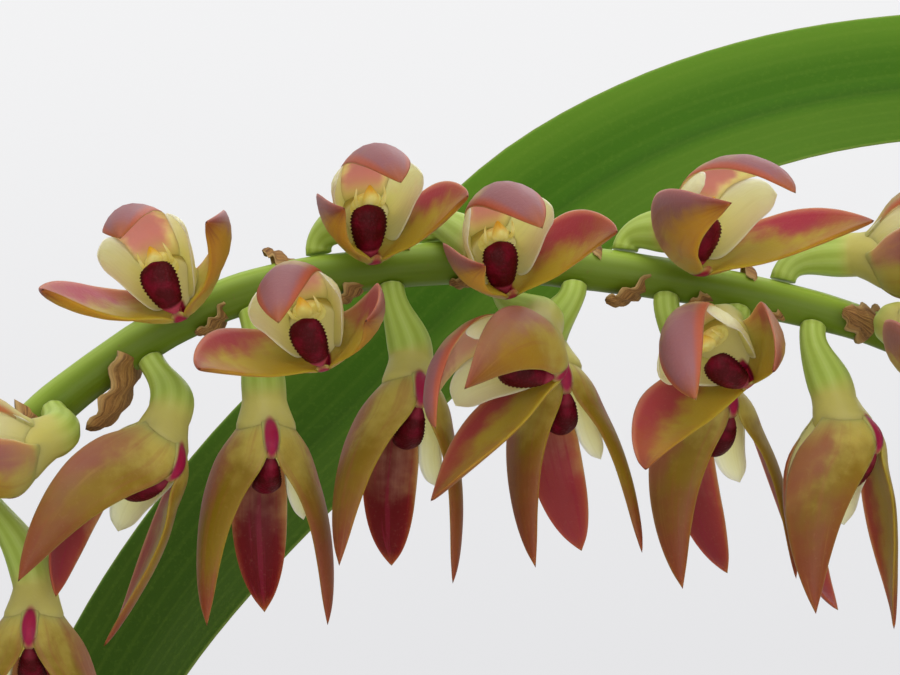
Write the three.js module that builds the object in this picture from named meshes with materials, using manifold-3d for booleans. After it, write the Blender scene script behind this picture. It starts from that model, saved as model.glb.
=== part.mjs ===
// Potted Bulbophyllum pumilum, a small creeping orchid, in millimetres with +Z up.
// A plain clay pot stands at the origin. A rhizome creeps over its bark, and carries ridged
// pseudobulbs with one strap leaf each and one arching flower stalk. The viewer looks along +Y.
import * as THREE from "three";
import { mergeVertices } from "three/addons/utils/BufferGeometryUtils.js";
import Module from "manifold-3d";

const wasm = await Module();
wasm.setup();

// Pot and potting bark
const POT = {
  height: 74, footRadius: 31, bodyRadius: 42, rimRadius: 45, rimHeight: 15, wall: 4, floor: 5,
  drainRadius: 4, drainRing: 15, drainHoles: 3, sides: 32,
};
const BARK = { top: 66, tries: 60, size: [6, 11], thickness: [3, 4.5], seed: 7 };
const SEAT_GAP = 0.3;

// Rhizome, roots and pseudobulbs
const RHIZOME_RADIUS = 1.6;
const RHIZOME_LEVEL = BARK.top + SEAT_GAP + RHIZOME_RADIUS;
const RHIZOME_RUNS = [
  [[-32, 9], [-22, 7], [-10, 8], [1, 4], [12, 2], [25, 7]],
  [[-10, 8], [-13, -3], [-6, -13], [7, -20]],
  [[1, 4], [7, 14], [3, 27]],
];
const ROOTS = [
  { from: [-28, 9], heading: 112, length: 11 }, { from: [-20, 7], heading: -112, length: 22 },
  { from: [-12, 3], heading: 196, length: 19 }, { from: [14, 3], heading: 52, length: 20 },
  { from: [22, 6], heading: -38, length: 17 }, { from: [2, -18], heading: -68, length: 14 },
  { from: [5, 22], heading: 24, length: 18 }, { from: [-4, -14], heading: -140, length: 19 },
];
const ROOT_RADIUS = 0.75;
// Each pseudobulb stands on the rhizome, leans a little and holds one leaf. The first holds the long
// leaf behind the flowers, whose course is LONG_LEAF.
const BULBS = [
  { at: [9.5, 2.3], height: 24, radius: 5.6, lean: [0, 0] },
  { at: [-28, 9], height: 21, radius: 5.2, lean: [-2, 1], leaf: { heading: 165, length: 92, width: 12, rise: 74, droop: 78 } },
  { at: [-15.5, 7], height: 23, radius: 5.6, lean: [-1, 2], leaf: { heading: 128, length: 118, width: 12.5, rise: 80, droop: 62 } },
  { at: [-3, 6.2], height: 25, radius: 5.8, lean: [-1, 1], leaf: { heading: 196, length: 128, width: 13, rise: 84, droop: 58 } },
  { at: [22, 5.8], height: 19, radius: 5, lean: [2, 1], leaf: { heading: 20, length: 84, width: 11.5, rise: 60, droop: 74 } },
  { at: [-12.5, -4.5], height: 20, radius: 5.2, lean: [-2, -1], leaf: { heading: 222, length: 96, width: 12, rise: 68, droop: 80 } },
  { at: [1, -17], height: 17, radius: 4.8, lean: [0, -2], leaf: { heading: -62, length: 72, width: 10.5, rise: 58, droop: 70 } },
  { at: [6.5, 19.5], height: 21, radius: 5.2, lean: [1, 2], leaf: { heading: 97, length: 98, width: 12, rise: 72, droop: 70 } },
];
const BULB_NECK_RADIUS = 1.7;
const LEAF = { thickness: 1.3, edge: 0.6, channel: 0.2, stalk: 0.14 };
const LONG_LEAF = {
  width: 7.4,
  course: [
    [9.5, 2.3, 0], [11, 2, 108], [14.5, 1.5, 121], [19, 1, 134], [23.3, 1, 144.5], [27.4, 1, 152.3],
    [31.8, 1, 158], [36.6, 1, 162.8], [41, 1, 167.1], [44.8, 1, 170.5], [49, 1, 172.9],
    [53.5, 1, 174.5], [58.5, 1, 175.4], [64, 1, 175.6], [70, 1, 174.3], [76, 1.5, 171.3],
    [81, 2, 167.2], [84.5, 2.5, 163],
  ],
  faceAtBase: [-0.62, -0.6, 0.3],
  faceAtTip: [-0.05, -0.78, 0.62],
};

// Flower stalk: a bare lower part with papery sheaths, then the part that carries the flowers
const STALK = {
  radius: 0.95, flowerPartRadius: 0.8, tipRadius: 0.45, sides: 7, steps: 36,
  course: [
    [14.89, 1.49, 69.28], [15.8, -0.9, 72.6], [15.3, -3.9, 78], [13.2, -7.6, 90], [12.3, -11, 108], [12.8, -12, 126], [14, -12, 141],
    [16.5, -12, 150], [19.5, -12, 156.2], [22.9, -12, 160.6], [26.9, -12, 164], [31.5, -12, 166.5],
    [36.9, -12, 167.6], [41.9, -12, 167.9], [46.5, -12, 167.5], [51.2, -12, 166.7],
    [56.2, -12, 165.4], [61, -12, 163.2], [66, -12, 160], [70.5, -12, 155.8], [74, -12, 150.5],
  ],
  flowersFrom: 60,
  sheaths: [{ from: 6, to: 17 }, { from: 27, to: 38 }, { from: 48, to: 57 }],
  sheathGrowth: 0.35,
};
const BRACT = { length: 1.6, halfWidth: 0.7, halfThickness: 0.32, behind: 0.8 };

// Flowers, in the order in which they sit on the stalk. fromTip is the distance back from the
// stalk's tip. side is the rank. reach goes from the stalk to the flower's cup, as right, towards the
// viewer and up. turn is how the flower looks: yaw to the right, pitch up, roll about its own axis.
const RANKS = {
  upper: { seat: [0.25, -0.15, 0.95] },
  front: { seat: [0.3, 0.95, -0.1] },
  lower: { seat: [0.35, 0.5, -0.8] },
  left: { seat: [-0.9, 0.4, 0] },
  right: { seat: [0.9, 0.4, 0] },
};
const BLOOMS = [
  { fromTip: 79.76, side: "right", reach: [2.3, 1.2, 0.3], turn: [62, -32, 0], open: 1, size: 1 },
  { fromTip: 71.76, side: "left", reach: [-2.2, 1.6, 0.6], turn: [-50, -30, 0], open: 1, size: 1 },
  { fromTip: 61.26, side: "lower", reach: [2.6, 1.6, -3.75], turn: [0, -76, 180], open: 0.9, size: 1 },
  { fromTip: 56.86, side: "front", reach: [0.2, 2.8, -1.07], turn: [-65, -15, 0], open: 1, size: 1 },
  { fromTip: 52.66, side: "lower", reach: [1.23, 2, -2.78], turn: [-54, -59, -75], open: 1, size: 1 },
  { fromTip: 50.36, side: "upper", reach: [-0.6, 1.5, 1.29], turn: [-7, 3, -22], open: 1.18, size: 1 },
  { fromTip: 48.16, side: "lower", reach: [0.77, 1.2, -4.11], turn: [8, -78, 183], open: 0.85, size: 1 },
  { fromTip: 46.46, side: "front", reach: [1.25, 3.2, -1.33], turn: [-6, -9, -16], open: 1.15, size: 1, bract: 0.6 },
  { fromTip: 45.16, side: "upper", reach: [1.46, 1.4, 2.2], turn: [13, 0, -6], open: 0.84, size: 1 },
  { fromTip: 42.56, side: "lower", reach: [0.85, 1, -3.58], turn: [-7, -66, 204], open: 0.82, size: 1 },
  { fromTip: 40.76, side: "upper", reach: [1.85, 3, 0.47], turn: [16, -3, -14], open: 0.93, size: 1 },
  { fromTip: 38.16, side: "lower", reach: [1.35, 3.6, -2.46], turn: [-26, -31, -62], open: 1, size: 1 },
  { fromTip: 35.36, side: "lower", reach: [-1.2, 0.2, -3.03], turn: [31, -68, 162], open: 0.78, size: 1, bract: 0.75 },
  { fromTip: 33.56, side: "upper", reach: [1.95, 1.2, 1.6], turn: [29, 1, 5], open: 1.15, size: 1 },
  { fromTip: 31.76, side: "lower", reach: [1.2, -0.5, -3.34], turn: [36, -72, 172], open: 0.95, size: 1 },
  { fromTip: 28.96, side: "lower", reach: [-1, 3.6, -1.39], turn: [-6, -24, -40], open: 1.1, size: 1, bract: 0.75 },
  { fromTip: 27.46, side: "upper", reach: [3, 0, 1.8], turn: [62, 3, 0], open: 1, size: 1 },
  { fromTip: 25.96, side: "lower", reach: [0.5, 1.75, -3.4], turn: [17, -72, 213], open: 0.95, size: 1, bract: 0.75 },
  { fromTip: 22.76, side: "front", reach: [-0.2, 3.4, 0.4], turn: [25, -12, 0], open: 1, size: 1 },
  { fromTip: 19.46, side: "upper", reach: [2.4, 0.6, 1.4], turn: [50, 0, 0], open: 1, size: 0.95 },
  { fromTip: 16.46, side: "lower", reach: [0.5, 0.8, -3], turn: [10, -72, 190], open: 0.9, size: 0.9 },
  { fromTip: 13.76, side: "front", reach: [0.8, 2.8, -0.6], turn: [30, -24, 0], open: 1, size: 0.85 },
  { fromTip: 10.16, side: "upper", reach: [1.9, 0.3, 0.9], turn: [70, -10, 0], bud: true, size: 0.85 },
  { fromTip: 7.16, side: "lower", reach: [-0.6, 0.6, -2], turn: [-60, -62, 0], bud: true, size: 0.75 },
  { fromTip: 4.16, side: "upper", reach: [1.5, 0.3, 0.1], turn: [75, -35, 0], bud: true, size: 0.62 },
];

// Flower shape in its own frame: x to its right, y to the back sepal, z the way that it opens.
// Each blade has the middle points of its length, its half width there, and the way that it is wide.
const SEPAL_HALF_THICKNESS = 0.36;
const BACK_SEPAL = {
  middle: [[0, 0.4, 0.3], [0, 1.9, 2.1], [0, 2.25, 4.6], [0, 1.85, 6.4], [0, 1, 8]],
  halfWidth: [0.5, 1.1, 1.1, 0.75],
  wide: [[1, 0, 0], [1, 0, 0]],
};
const SIDE_SEPAL = {
  middle: [
    [0.5, -0.5, 0.4], [1.35, -0.75, 2.1], [2.3, -0.15, 4.4], [2.68, 0.15, 6.7], [2.7, 0.3, 8.6],
  ],
  halfWidth: [0.45, 1.5, 1.22, 0.66],
  wide: [[0.62, 0.78, 0], [0.5, 0.87, 0]],
};
const PETAL = {
  middle: [[0.4, -0.15, 0.7], [1.2, 0.45, 2.6], [1.66, 1.25, 4.35]],
  halfWidth: [0.7, 1.15],
  wide: [[0.18, 0.98, 0], [0.1, 0.99, 0]],
};
const LIP = {
  middle: [[0, -1.3, 1.3], [0, -1.35, 2.4], [0, -0.5, 3.15], [0, 0.45, 3.28]],
  halfWidth: [0.3, 0.5, 0.68],
  wide: [[1, 0, 0], [1, 0, 0]],
  halfThickness: 0.45,
};
const COLUMN = { middle: [[0, 0.1, 0.4], [0, 0.6, 1.6], [0, 0.85, 2.3]], halfWidth: [0.6, 0.5], halfThickness: 0.5 };
const CUP = { radius: 1.3, sag: 0.3, depth: 1.5, mouthRadius: 1.05 };
const OVARY = { footRadius: 0.5, radius: 0.85, sides: 6, steps: 4 };
const BUD = { length: 5, radius: 1.15 };

// Small helpers
const vec = (p) => new THREE.Vector3(...p);
const radians = THREE.MathUtils.degToRad;
const mix = (a, b, t) => a + (b - a) * t;
const smooth = THREE.MathUtils.smoothstep;

function drawer(seed) {
  let state = seed;
  return (low, high) => {
    state = (state * 1664525 + 1013904223) % 4294967296;
    return mix(low, high, state / 4294967296);
  };
}

// A point list as a curve that keeps its spacing.
function curveThrough(points) {
  const curve = new THREE.CatmullRomCurve3(points.map(vec), false, "centripetal");
  curve.arcLengthDivisions = 600;
  return curve;
}

// A closed skin: a sphere's rings moved to where place(row, angle, spread) says. The first and
// last rows are points, where spread is 0.
function skin(sides, rows, place) {
  const geometry = new THREE.SphereGeometry(1, sides, rows);
  const { position, uv } = geometry.attributes;
  for (let i = 0; i < position.count; i++) {
    const row = Math.round((1 - uv.getY(i)) * rows);
    const spread = row === 0 || row === rows ? 0 : 1;
    const p = place(row, 2 * Math.PI * uv.getX(i), spread);
    position.setXYZ(i, p.x, p.y, p.z);
  }
  return geometry;
}

// A three.js geometry as a solid, turned the right way out.
function solid(geometry) {
  geometry.deleteAttribute("normal");
  geometry.deleteAttribute("uv");
  const merged = mergeVertices(geometry, 1e-4);
  const turned = (flip) => {
    const corners = new Uint32Array(merged.index.array);
    for (let i = 0; flip && i < corners.length; i += 3) {
      [corners[i + 1], corners[i + 2]] = [corners[i + 2], corners[i + 1]];
    }
    return new wasm.Manifold(new wasm.Mesh({
      numProp: 3, vertProperties: new Float32Array(merged.attributes.position.array), triVerts: corners,
    }));
  };
  const made = turned(false);
  return made.volume() < 0 ? turned(true) : made;
}

const fuse = (solids) => solids.reduce((all, next) => all.add(next));

// The largest body of a solid, without loose scraps.
function wholeBody(made) {
  return made.decompose().reduce((best, next) => (next.volume() > best.volume() ? next : best));
}

function geometryOf(made) {
  const mesh = made.getMesh();
  const geometry = new THREE.BufferGeometry();
  geometry.setAttribute("position", new THREE.BufferAttribute(new Float32Array(mesh.vertProperties), 3));
  geometry.setIndex(new THREE.BufferAttribute(new Uint32Array(mesh.triVerts), 1));
  geometry.computeVertexNormals();
  return geometry;
}

// A tube with flat ends along a curve; radiusAt gives the radius for a share of its length, and
// ribAt a factor for an angle.
function tube(curve, steps, sides, radiusAt, ribAt = () => 1) {
  const { normals, binormals } = curve.computeFrenetFrames(steps);
  return skin(sides, steps + 2, (row, angle, spread) => {
    const step = Math.min(Math.max(row - 1, 0), steps);
    const radius = radiusAt(step / steps) * ribAt(angle) * spread;
    return curve.getPointAt(step / steps)
      .addScaledVector(normals[step], radius * Math.cos(angle))
      .addScaledVector(binormals[step], radius * Math.sin(angle));
  });
}

// A thin pointed blade with a four-cornered section, as fleshy sepals have. cup lifts its edges.
function blade({ middle, halfWidth, wide }, halfThickness, cup = 0) {
  const points = middle.map(vec);
  const last = points.length - 1;
  return skin(4, last + 1, (row, angle, spread) => {
    const k = Math.min(Math.max(row - 1, 0), last);
    if (k === last) return points[last].clone();
    const along = points[Math.min(k + 1, last)].clone().sub(points[Math.max(k - 1, 0)]).normalize();
    const side = vec(wide[0]).lerp(vec(wide[1]), k / last);
    side.addScaledVector(along, -side.dot(along)).normalize();
    const out = new THREE.Vector3().crossVectors(side, along);
    const lift = halfThickness * Math.sin(angle) + cup * Math.abs(Math.sin(angle));
    return points[k].clone()
      .addScaledVector(side, halfWidth[k] * Math.cos(angle) * spread)
      .addScaledVector(out, lift * spread);
  });
}

const mirrored = (part, open) => ({
  ...part,
  middle: part.middle.map(([x, y, z]) => [x * open, y, z]),
  wide: part.wide.map(([x, y, z]) => [x * Math.sign(open), y, z]),
});

const group = new THREE.Group();
const finish = {
  clay: new THREE.MeshStandardMaterial({ color: 0xb4633f, roughness: 0.9, metalness: 0 }),
  bark: new THREE.MeshStandardMaterial({ color: 0x5b3a25, roughness: 0.95, metalness: 0 }),
  rhizome: new THREE.MeshStandardMaterial({ color: 0x8a7a4a, roughness: 0.8, metalness: 0 }),
  bulb: new THREE.MeshStandardMaterial({ color: 0x7d9440, roughness: 0.45, metalness: 0 }),
  leaf: new THREE.MeshStandardMaterial({ color: 0x4a7a22, roughness: 0.4, metalness: 0 }),
  stalk: new THREE.MeshStandardMaterial({ color: 0x90a83c, roughness: 0.5, metalness: 0 }),
  bloom: new THREE.MeshStandardMaterial({ color: 0xb98a55, roughness: 0.5, metalness: 0 }),
};

function addPiece(name, made, material, parent = group) {
  const mesh = new THREE.Mesh(geometryOf(made), material);
  mesh.name = name;
  parent.add(mesh);
  return mesh;
}

// Clay pot with a thick rim and drain holes round the middle of its floor
function makePot() {
  const { height, footRadius, bodyRadius, rimRadius, rimHeight, wall, floor, sides } = POT;
  const underRim = height - rimHeight;
  const outline = [
    [0, 0], [footRadius - 1.5, 0], [footRadius, 1.5], [bodyRadius, underRim], [rimRadius, underRim + 1.5],
    [rimRadius + 0.6, height - 2], [rimRadius - 1, height], [rimRadius - wall + 0.6, height],
    [rimRadius - wall - 0.6, height - 1.6], [footRadius - wall + 0.6, floor], [0, floor],
  ];
  let pot = solid(new THREE.LatheGeometry(outline.map(([r, z]) => new THREE.Vector2(r, z)), sides));
  for (let k = 0; k < POT.drainHoles; k++) {
    const angle = 2 * Math.PI * (k / POT.drainHoles + 0.08);
    const drill = new THREE.CylinderGeometry(POT.drainRadius, POT.drainRadius, 3 * floor, 14);
    drill.translate(POT.drainRing * Math.cos(angle), floor / 2, -POT.drainRing * Math.sin(angle));
    pot = pot.subtract(solid(drill));
  }
  const mesh = addPiece("clay_pot", pot, finish.clay);
  mesh.rotation.x = Math.PI / 2;
}

// The inside radius of the pot at a height
function potInside(z) {
  const { rimRadius, footRadius, wall, floor, height } = POT;
  return mix(footRadius - wall + 0.6, rimRadius - wall - 0.6, (z - floor) / (height - 1.6 - floor));
}

// Rhizome, roots and the fat pseudobulbs
const onBark = ([x, y], z = RHIZOME_LEVEL) => [x, y, z];

function rhizomeSolid() {
  const runs = RHIZOME_RUNS.map((run) => {
    const curve = curveThrough(run.map((p) => onBark(p)));
    const steps = 2 * run.length;
    return solid(tube(curve, steps, 6, (t) => RHIZOME_RADIUS * (t === 1 ? 0.6 : 1)));
  });
  const roots = ROOTS.map(({ from, heading, length }) => {
    const turn = radians(heading);
    const ahead = [Math.cos(turn), Math.sin(turn)];
    const go = (share, swing) => [
      from[0] + length * (share * ahead[0] - swing * ahead[1]),
      from[1] + length * (share * ahead[1] + swing * ahead[0]),
    ];
    const crest = RHIZOME_LEVEL - RHIZOME_RADIUS + ROOT_RADIUS;
    const curve = curveThrough([
      onBark(go(0, 0), crest + 0.4), onBark(go(0.35, 0.07), crest + 0.7), onBark(go(0.7, -0.05), crest + 0.2),
      onBark(go(1, 0.06), crest),
    ]);
    return solid(tube(curve, 5, 5, (t) => ROOT_RADIUS * mix(1, 0.75, t)));
  });
  return fuse([...runs, ...roots]);
}

function bulbFoot({ at }) {
  return new THREE.Vector3(at[0], at[1], RHIZOME_LEVEL + RHIZOME_RADIUS + SEAT_GAP);
}

function bulbTop(bulb) {
  return bulbFoot(bulb).add(new THREE.Vector3(bulb.lean[0], bulb.lean[1], bulb.height));
}

// A pseudobulb is egg-shaped with a neck and five blunt ridges.
function makeBulb(bulb, name) {
  const shares = [0, 0, 0.12, 0.3, 0.5, 0.7, 0.86, 1, 1];
  const radiusAt = (t) =>
    bulb.radius * Math.sqrt(Math.max(0, Math.sin(Math.PI * mix(0.1, 0.93, t ** 0.85)))) * mix(1, 0.62, t);
  const foot = bulbFoot(bulb);
  const top = bulbTop(bulb);
  const made = skin(10, shares.length - 1, (row, angle, spread) => {
    const t = shares[row];
    const ridge = 1 + 0.07 * Math.cos(5 * angle) * Math.sin(Math.PI * t);
    const radius = (t === 1 ? BULB_NECK_RADIUS : radiusAt(t)) * ridge * spread;
    return foot.clone().lerp(top, t).add(
      new THREE.Vector3(radius * Math.cos(angle), radius * Math.sin(angle), 0));
  });
  const bulbSolid = solid(made);
  addPiece(name, bulbSolid, finish.bulb);
  return bulbSolid;
}

// Leaves: a narrow stalk that widens to a strap with a channel down its middle
function strap(course, width, faceAt, steps) {
  return skin(6, steps + 2, (row, angle, spread) => {
    const t = Math.min(Math.max(row - 1, 0), steps) / steps;
    const along = course.getTangentAt(t);
    const face = faceAt(t);
    face.addScaledVector(along, -face.dot(along)).normalize();
    const side = new THREE.Vector3().crossVectors(along, face);
    const swell = smooth(t, 0, 0.42) * Math.sqrt(Math.max(0, 1 - Math.max(0, (t - 0.72) / 0.29) ** 2.2));
    const half = width / 2 * mix(LEAF.stalk, 1, swell) * (t === 1 ? 0.35 : 1);
    const corner = Math.round(angle / (Math.PI / 3)) % 6;
    const reach = [1, 0, -1, -1, 0, 1][corner] * half * spread;
    const thick = [LEAF.edge, LEAF.thickness, LEAF.edge][[0, 1, 2, 2, 1, 0][corner]] / 2;
    const channel = (2 * Math.abs(reach) - half) * LEAF.channel * spread;
    const lift = (corner < 3 ? thick : -thick) * spread + channel;
    return course.getPointAt(t).addScaledVector(side, reach).addScaledVector(face, lift);
  });
}

function leafCourse(start, { heading, length, rise, droop }) {
  const turn = radians(heading);
  const points = [start.toArray(), start.clone().setZ(start.z + 2).toArray()];
  const pieces = 12;
  let tilt = radians(rise);
  let at = start.clone().setZ(start.z + 2);
  for (let k = 1; k <= pieces; k++) {
    tilt -= radians(droop) * 2 * k / (pieces * (pieces + 1));
    const step = new THREE.Vector3(
      Math.cos(turn) * Math.cos(tilt), Math.sin(turn) * Math.cos(tilt), Math.sin(tilt));
    at = at.clone().addScaledVector(step, length / pieces);
    points.push(at.toArray());
  }
  return curveThrough(points);
}

function makeLeaf(bulb, name) {
  const start = bulbTop(bulb).add(new THREE.Vector3(0, 0, SEAT_GAP));
  if (bulb.leaf) {
    const turn = radians(bulb.leaf.heading);
    const face = () => new THREE.Vector3(-Math.cos(turn), -Math.sin(turn), 1.2);
    addPiece(name, solid(strap(leafCourse(start, bulb.leaf), bulb.leaf.width, face, 10)), finish.leaf);
    return;
  }
  const course = curveThrough([start.toArray(), ...LONG_LEAF.course.slice(1)]);
  const face = (t) => vec(LONG_LEAF.faceAtBase).lerp(vec(LONG_LEAF.faceAtTip), smooth(t, 0.35, 0.7));
  addPiece(name, solid(strap(course, LONG_LEAF.width, face, 24)), finish.leaf);
}

// Flower stalk with its sheaths and the dry bract under each flower
const stalkCurve = curveThrough(STALK.course);
const stalkLength = stalkCurve.getLength();

function stalkRadius(t) {
  const past = (t * stalkLength - STALK.flowersFrom) / (stalkLength - STALK.flowersFrom);
  if (past < 0) return mix(STALK.radius, STALK.flowerPartRadius, t * stalkLength / STALK.flowersFrom);
  return mix(STALK.flowerPartRadius, STALK.tipRadius, smooth(past, 0.6, 1));
}

function seatOf(bloom) {
  const t = 1 - bloom.fromTip / stalkLength;
  const centre = stalkCurve.getPointAt(t);
  const ahead = stalkCurve.getTangentAt(t);
  const [right, near, up] = RANKS[bloom.side].seat;
  const lead = new THREE.Vector3(right, -near, up).normalize();
  const out = lead.clone().addScaledVector(ahead, -lead.dot(ahead)).normalize();
  return { centre, ahead, out };
}

function makeStalk(blooms) {
  const parts = [solid(tube(stalkCurve, STALK.steps, STALK.sides, stalkRadius))];
  for (const { from, to } of STALK.sheaths) {
    const middle = [0, 0.5, 1].map((k) => stalkCurve.getPointAt(mix(from, to, k) / stalkLength).toArray());
    const radius = stalkRadius(from / stalkLength) + STALK.sheathGrowth;
    parts.push(solid(tube(curveThrough(middle), 2, STALK.sides, (t) => radius * mix(1, 1.18, t))));
  }
  for (const bloom of blooms) {
    const { centre, ahead, out } = seatOf(bloom);
    const size = bloom.size * (bloom.bract ?? 1);
    const root = centre.clone().addScaledVector(ahead, -BRACT.behind);
    const point = (back, away) => root.clone()
      .addScaledVector(ahead, -back * size).addScaledVector(out, away * size).toArray();
    const wide = new THREE.Vector3().crossVectors(ahead, out).toArray();
    const made = blade({
      middle: [point(-0.2, 0.2), point(0.6, 1.15), point(BRACT.length, 1.5)],
      halfWidth: [BRACT.halfWidth * size, BRACT.halfWidth * 1.1 * size],
      wide: [wide, wide],
    }, BRACT.halfThickness);
    parts.push(solid(made));
  }
  addPiece("flower_stalk", wholeBody(fuse(parts)), finish.stalk);
}

// One flower: three sepals, two petals, lip and column on a cup at the end of the curved ovary
function flowerHead(open) {
  return fuse([
    solid(blade(mirrored(BACK_SEPAL, 1), SEPAL_HALF_THICKNESS, -0.3)),
    solid(blade(mirrored(SIDE_SEPAL, open), SEPAL_HALF_THICKNESS, 0.2)),
    solid(blade(mirrored(SIDE_SEPAL, -open), SEPAL_HALF_THICKNESS, -0.2)),
    solid(blade(mirrored(PETAL, 1), SEPAL_HALF_THICKNESS)),
    solid(blade(mirrored(PETAL, -1), SEPAL_HALF_THICKNESS)),
    solid(blade(LIP, LIP.halfThickness)),
    solid(blade({ ...COLUMN, wide: [[1, 0, 0], [1, 0, 0]] }, COLUMN.halfThickness)),
  ]);
}

// A closed bud, with its three sepals shut
function budHead() {
  const shares = [0, 0, 0.2, 0.5, 0.8, 1];
  return solid(skin(6, shares.length - 1, (row, angle, spread) => {
    const t = shares[row];
    const radius = spread * mix(OVARY.radius, BUD.radius, Math.sin(Math.PI * Math.min(1, t * 1.1))) *
      mix(1, 0.75, t);
    return new THREE.Vector3(radius * Math.cos(angle), radius * Math.sin(angle), BUD.length * t - 0.3);
  }));
}

function bloomMatrix(bloom, centre) {
  const [yaw, pitch, roll] = bloom.turn.map(radians);
  const front = new THREE.Vector3(
    Math.sin(yaw) * Math.cos(pitch), -Math.cos(yaw) * Math.cos(pitch), Math.sin(pitch));
  const upright = new THREE.Vector3(0, 0, 1).addScaledVector(front, -front.z).normalize();
  const across = new THREE.Vector3().crossVectors(upright, front);
  const up = upright.clone().multiplyScalar(Math.cos(roll)).addScaledVector(across, Math.sin(roll));
  const right = new THREE.Vector3().crossVectors(up, front);
  const [dx, near, dz] = bloom.reach;
  return new THREE.Matrix4().makeBasis(right, up, front)
    .setPosition(centre.x + dx, centre.y - near, centre.z + dz);
}

// The ovary leaves the stalk square to it, curves to the flower and opens into its cup.
function ovaryAndCup(bloom, foot, stand) {
  const size = bloom.size;
  const length = foot.length();
  const bend = new THREE.CubicBezierCurve3(
    foot, foot.clone().addScaledVector(stand, 0.4 * length),
    new THREE.Vector3(0, 0, -Math.min(0.35 * length, 0.9 * size)), new THREE.Vector3(0, 0, 0));
  const stations = [];
  for (let k = 0; k <= OVARY.steps; k++) {
    const t = k / OVARY.steps;
    stations.push([bend.getPoint(t), bend.getTangent(t), mix(OVARY.footRadius, OVARY.radius, smooth(t, 0.1, 0.8))]);
  }
  if (!bloom.bud) {
    const ahead = new THREE.Vector3(0, 0, 1);
    stations.push([new THREE.Vector3(0, -CUP.sag * size, 1.1 * size), ahead, CUP.radius]);
    stations.push([new THREE.Vector3(0, -CUP.sag * size, CUP.depth * size), ahead, CUP.mouthRadius]);
  }
  const last = stations.length - 1;
  let side = new THREE.Vector3(1, 0.1, 0.1);
  const frames = stations.map(([, ahead]) => {
    side = side.clone().addScaledVector(ahead, -side.dot(ahead)).normalize();
    return [side, new THREE.Vector3().crossVectors(ahead, side)];
  });
  return solid(skin(OVARY.sides, last + 2, (row, angle, spread) => {
    const k = Math.min(Math.max(row - 1, 0), last);
    const [middle, , radius] = stations[k];
    return middle.clone()
      .addScaledVector(frames[k][0], radius * size * Math.cos(angle) * spread)
      .addScaledVector(frames[k][1], radius * size * Math.sin(angle) * spread);
  }));
}

function makeFlower(bloom, name) {
  const { centre, out } = seatOf(bloom);
  const place = bloomMatrix(bloom, centre);
  const back = place.clone().invert();
  const gap = stalkRadius(1 - bloom.fromTip / stalkLength) + SEAT_GAP;
  const foot = centre.clone().addScaledVector(out, gap).applyMatrix4(back);
  const stand = out.clone().transformDirection(back);
  const size = bloom.size;
  const head = bloom.bud ? budHead() : flowerHead(bloom.open);
  const made = head.scale([size, size, size]).add(ovaryAndCup(bloom, foot, stand));
  const mesh = addPiece(name, wholeBody(made), finish.bloom);
  place.decompose(mesh.position, mesh.quaternion, mesh.scale);
}

// Bark that fills the pot. Its chips lie clear of the rhizome, the roots and the stalk.
function makeBark(growth) {
  const draw = drawer(BARK.seed);
  const low = POT.floor + SEAT_GAP;
  const outline = [
    [0, low], [potInside(low) - SEAT_GAP, low], [potInside(BARK.top) - SEAT_GAP - 0.2, BARK.top - 0.5],
    [potInside(BARK.top) - 2, BARK.top], [0, BARK.top],
  ];
  const bed = new THREE.LatheGeometry(outline.map(([r, z]) => new THREE.Vector2(r, z)), POT.sides);
  bed.rotateX(Math.PI / 2);
  let bark = solid(bed);
  for (let k = 0; k < BARK.tries; k++) {
    const spot = 2.39996 * k;
    const size = draw(...BARK.size);
    const width = size * draw(0.5, 0.75);
    const away = Math.sqrt((k + 0.5) / BARK.tries) * (potInside(BARK.top) - 3);
    const chip = new THREE.BoxGeometry(size, width, draw(...BARK.thickness));
    chip.rotateX(draw(-0.3, 0.3));
    chip.rotateY(draw(-0.3, 0.3));
    chip.rotateZ(draw(0, Math.PI));
    chip.translate(away * Math.cos(spot), away * Math.sin(spot), BARK.top + draw(-0.4, 0.9));
    const made = solid(chip);
    const room = potInside(BARK.top) - SEAT_GAP - 0.6;
    const corners = chip.attributes.position;
    let inside = true;
    for (let i = 0; i < corners.count; i++) {
      inside = inside && Math.hypot(corners.getX(i), corners.getY(i)) < room;
    }
    if (inside && made.minGap(growth, 1) > SEAT_GAP) bark = bark.add(made);
  }
  addPiece("bark_mix", wholeBody(bark), finish.bark);
}

makePot();
const creeper = wholeBody(rhizomeSolid());
const standing = BULBS.map((bulb, k) => makeBulb(bulb, `pseudobulb_${k + 1}`));
makeBark(fuse([creeper, ...standing]));
addPiece("rhizome_and_roots", creeper, finish.rhizome);
BULBS.forEach((bulb, k) => makeLeaf(bulb, `leaf_${k + 1}`));
makeStalk(BLOOMS);
BLOOMS.forEach((bloom, k) => makeFlower(bloom, `flower_${String(k + 1).padStart(2, "0")}`));

export default group;
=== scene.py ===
import bisect
import math
import random

import bmesh
import bpy
from bpy.props import FloatProperty, FloatVectorProperty, IntProperty, PointerProperty
from mathutils import Matrix, Vector


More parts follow.
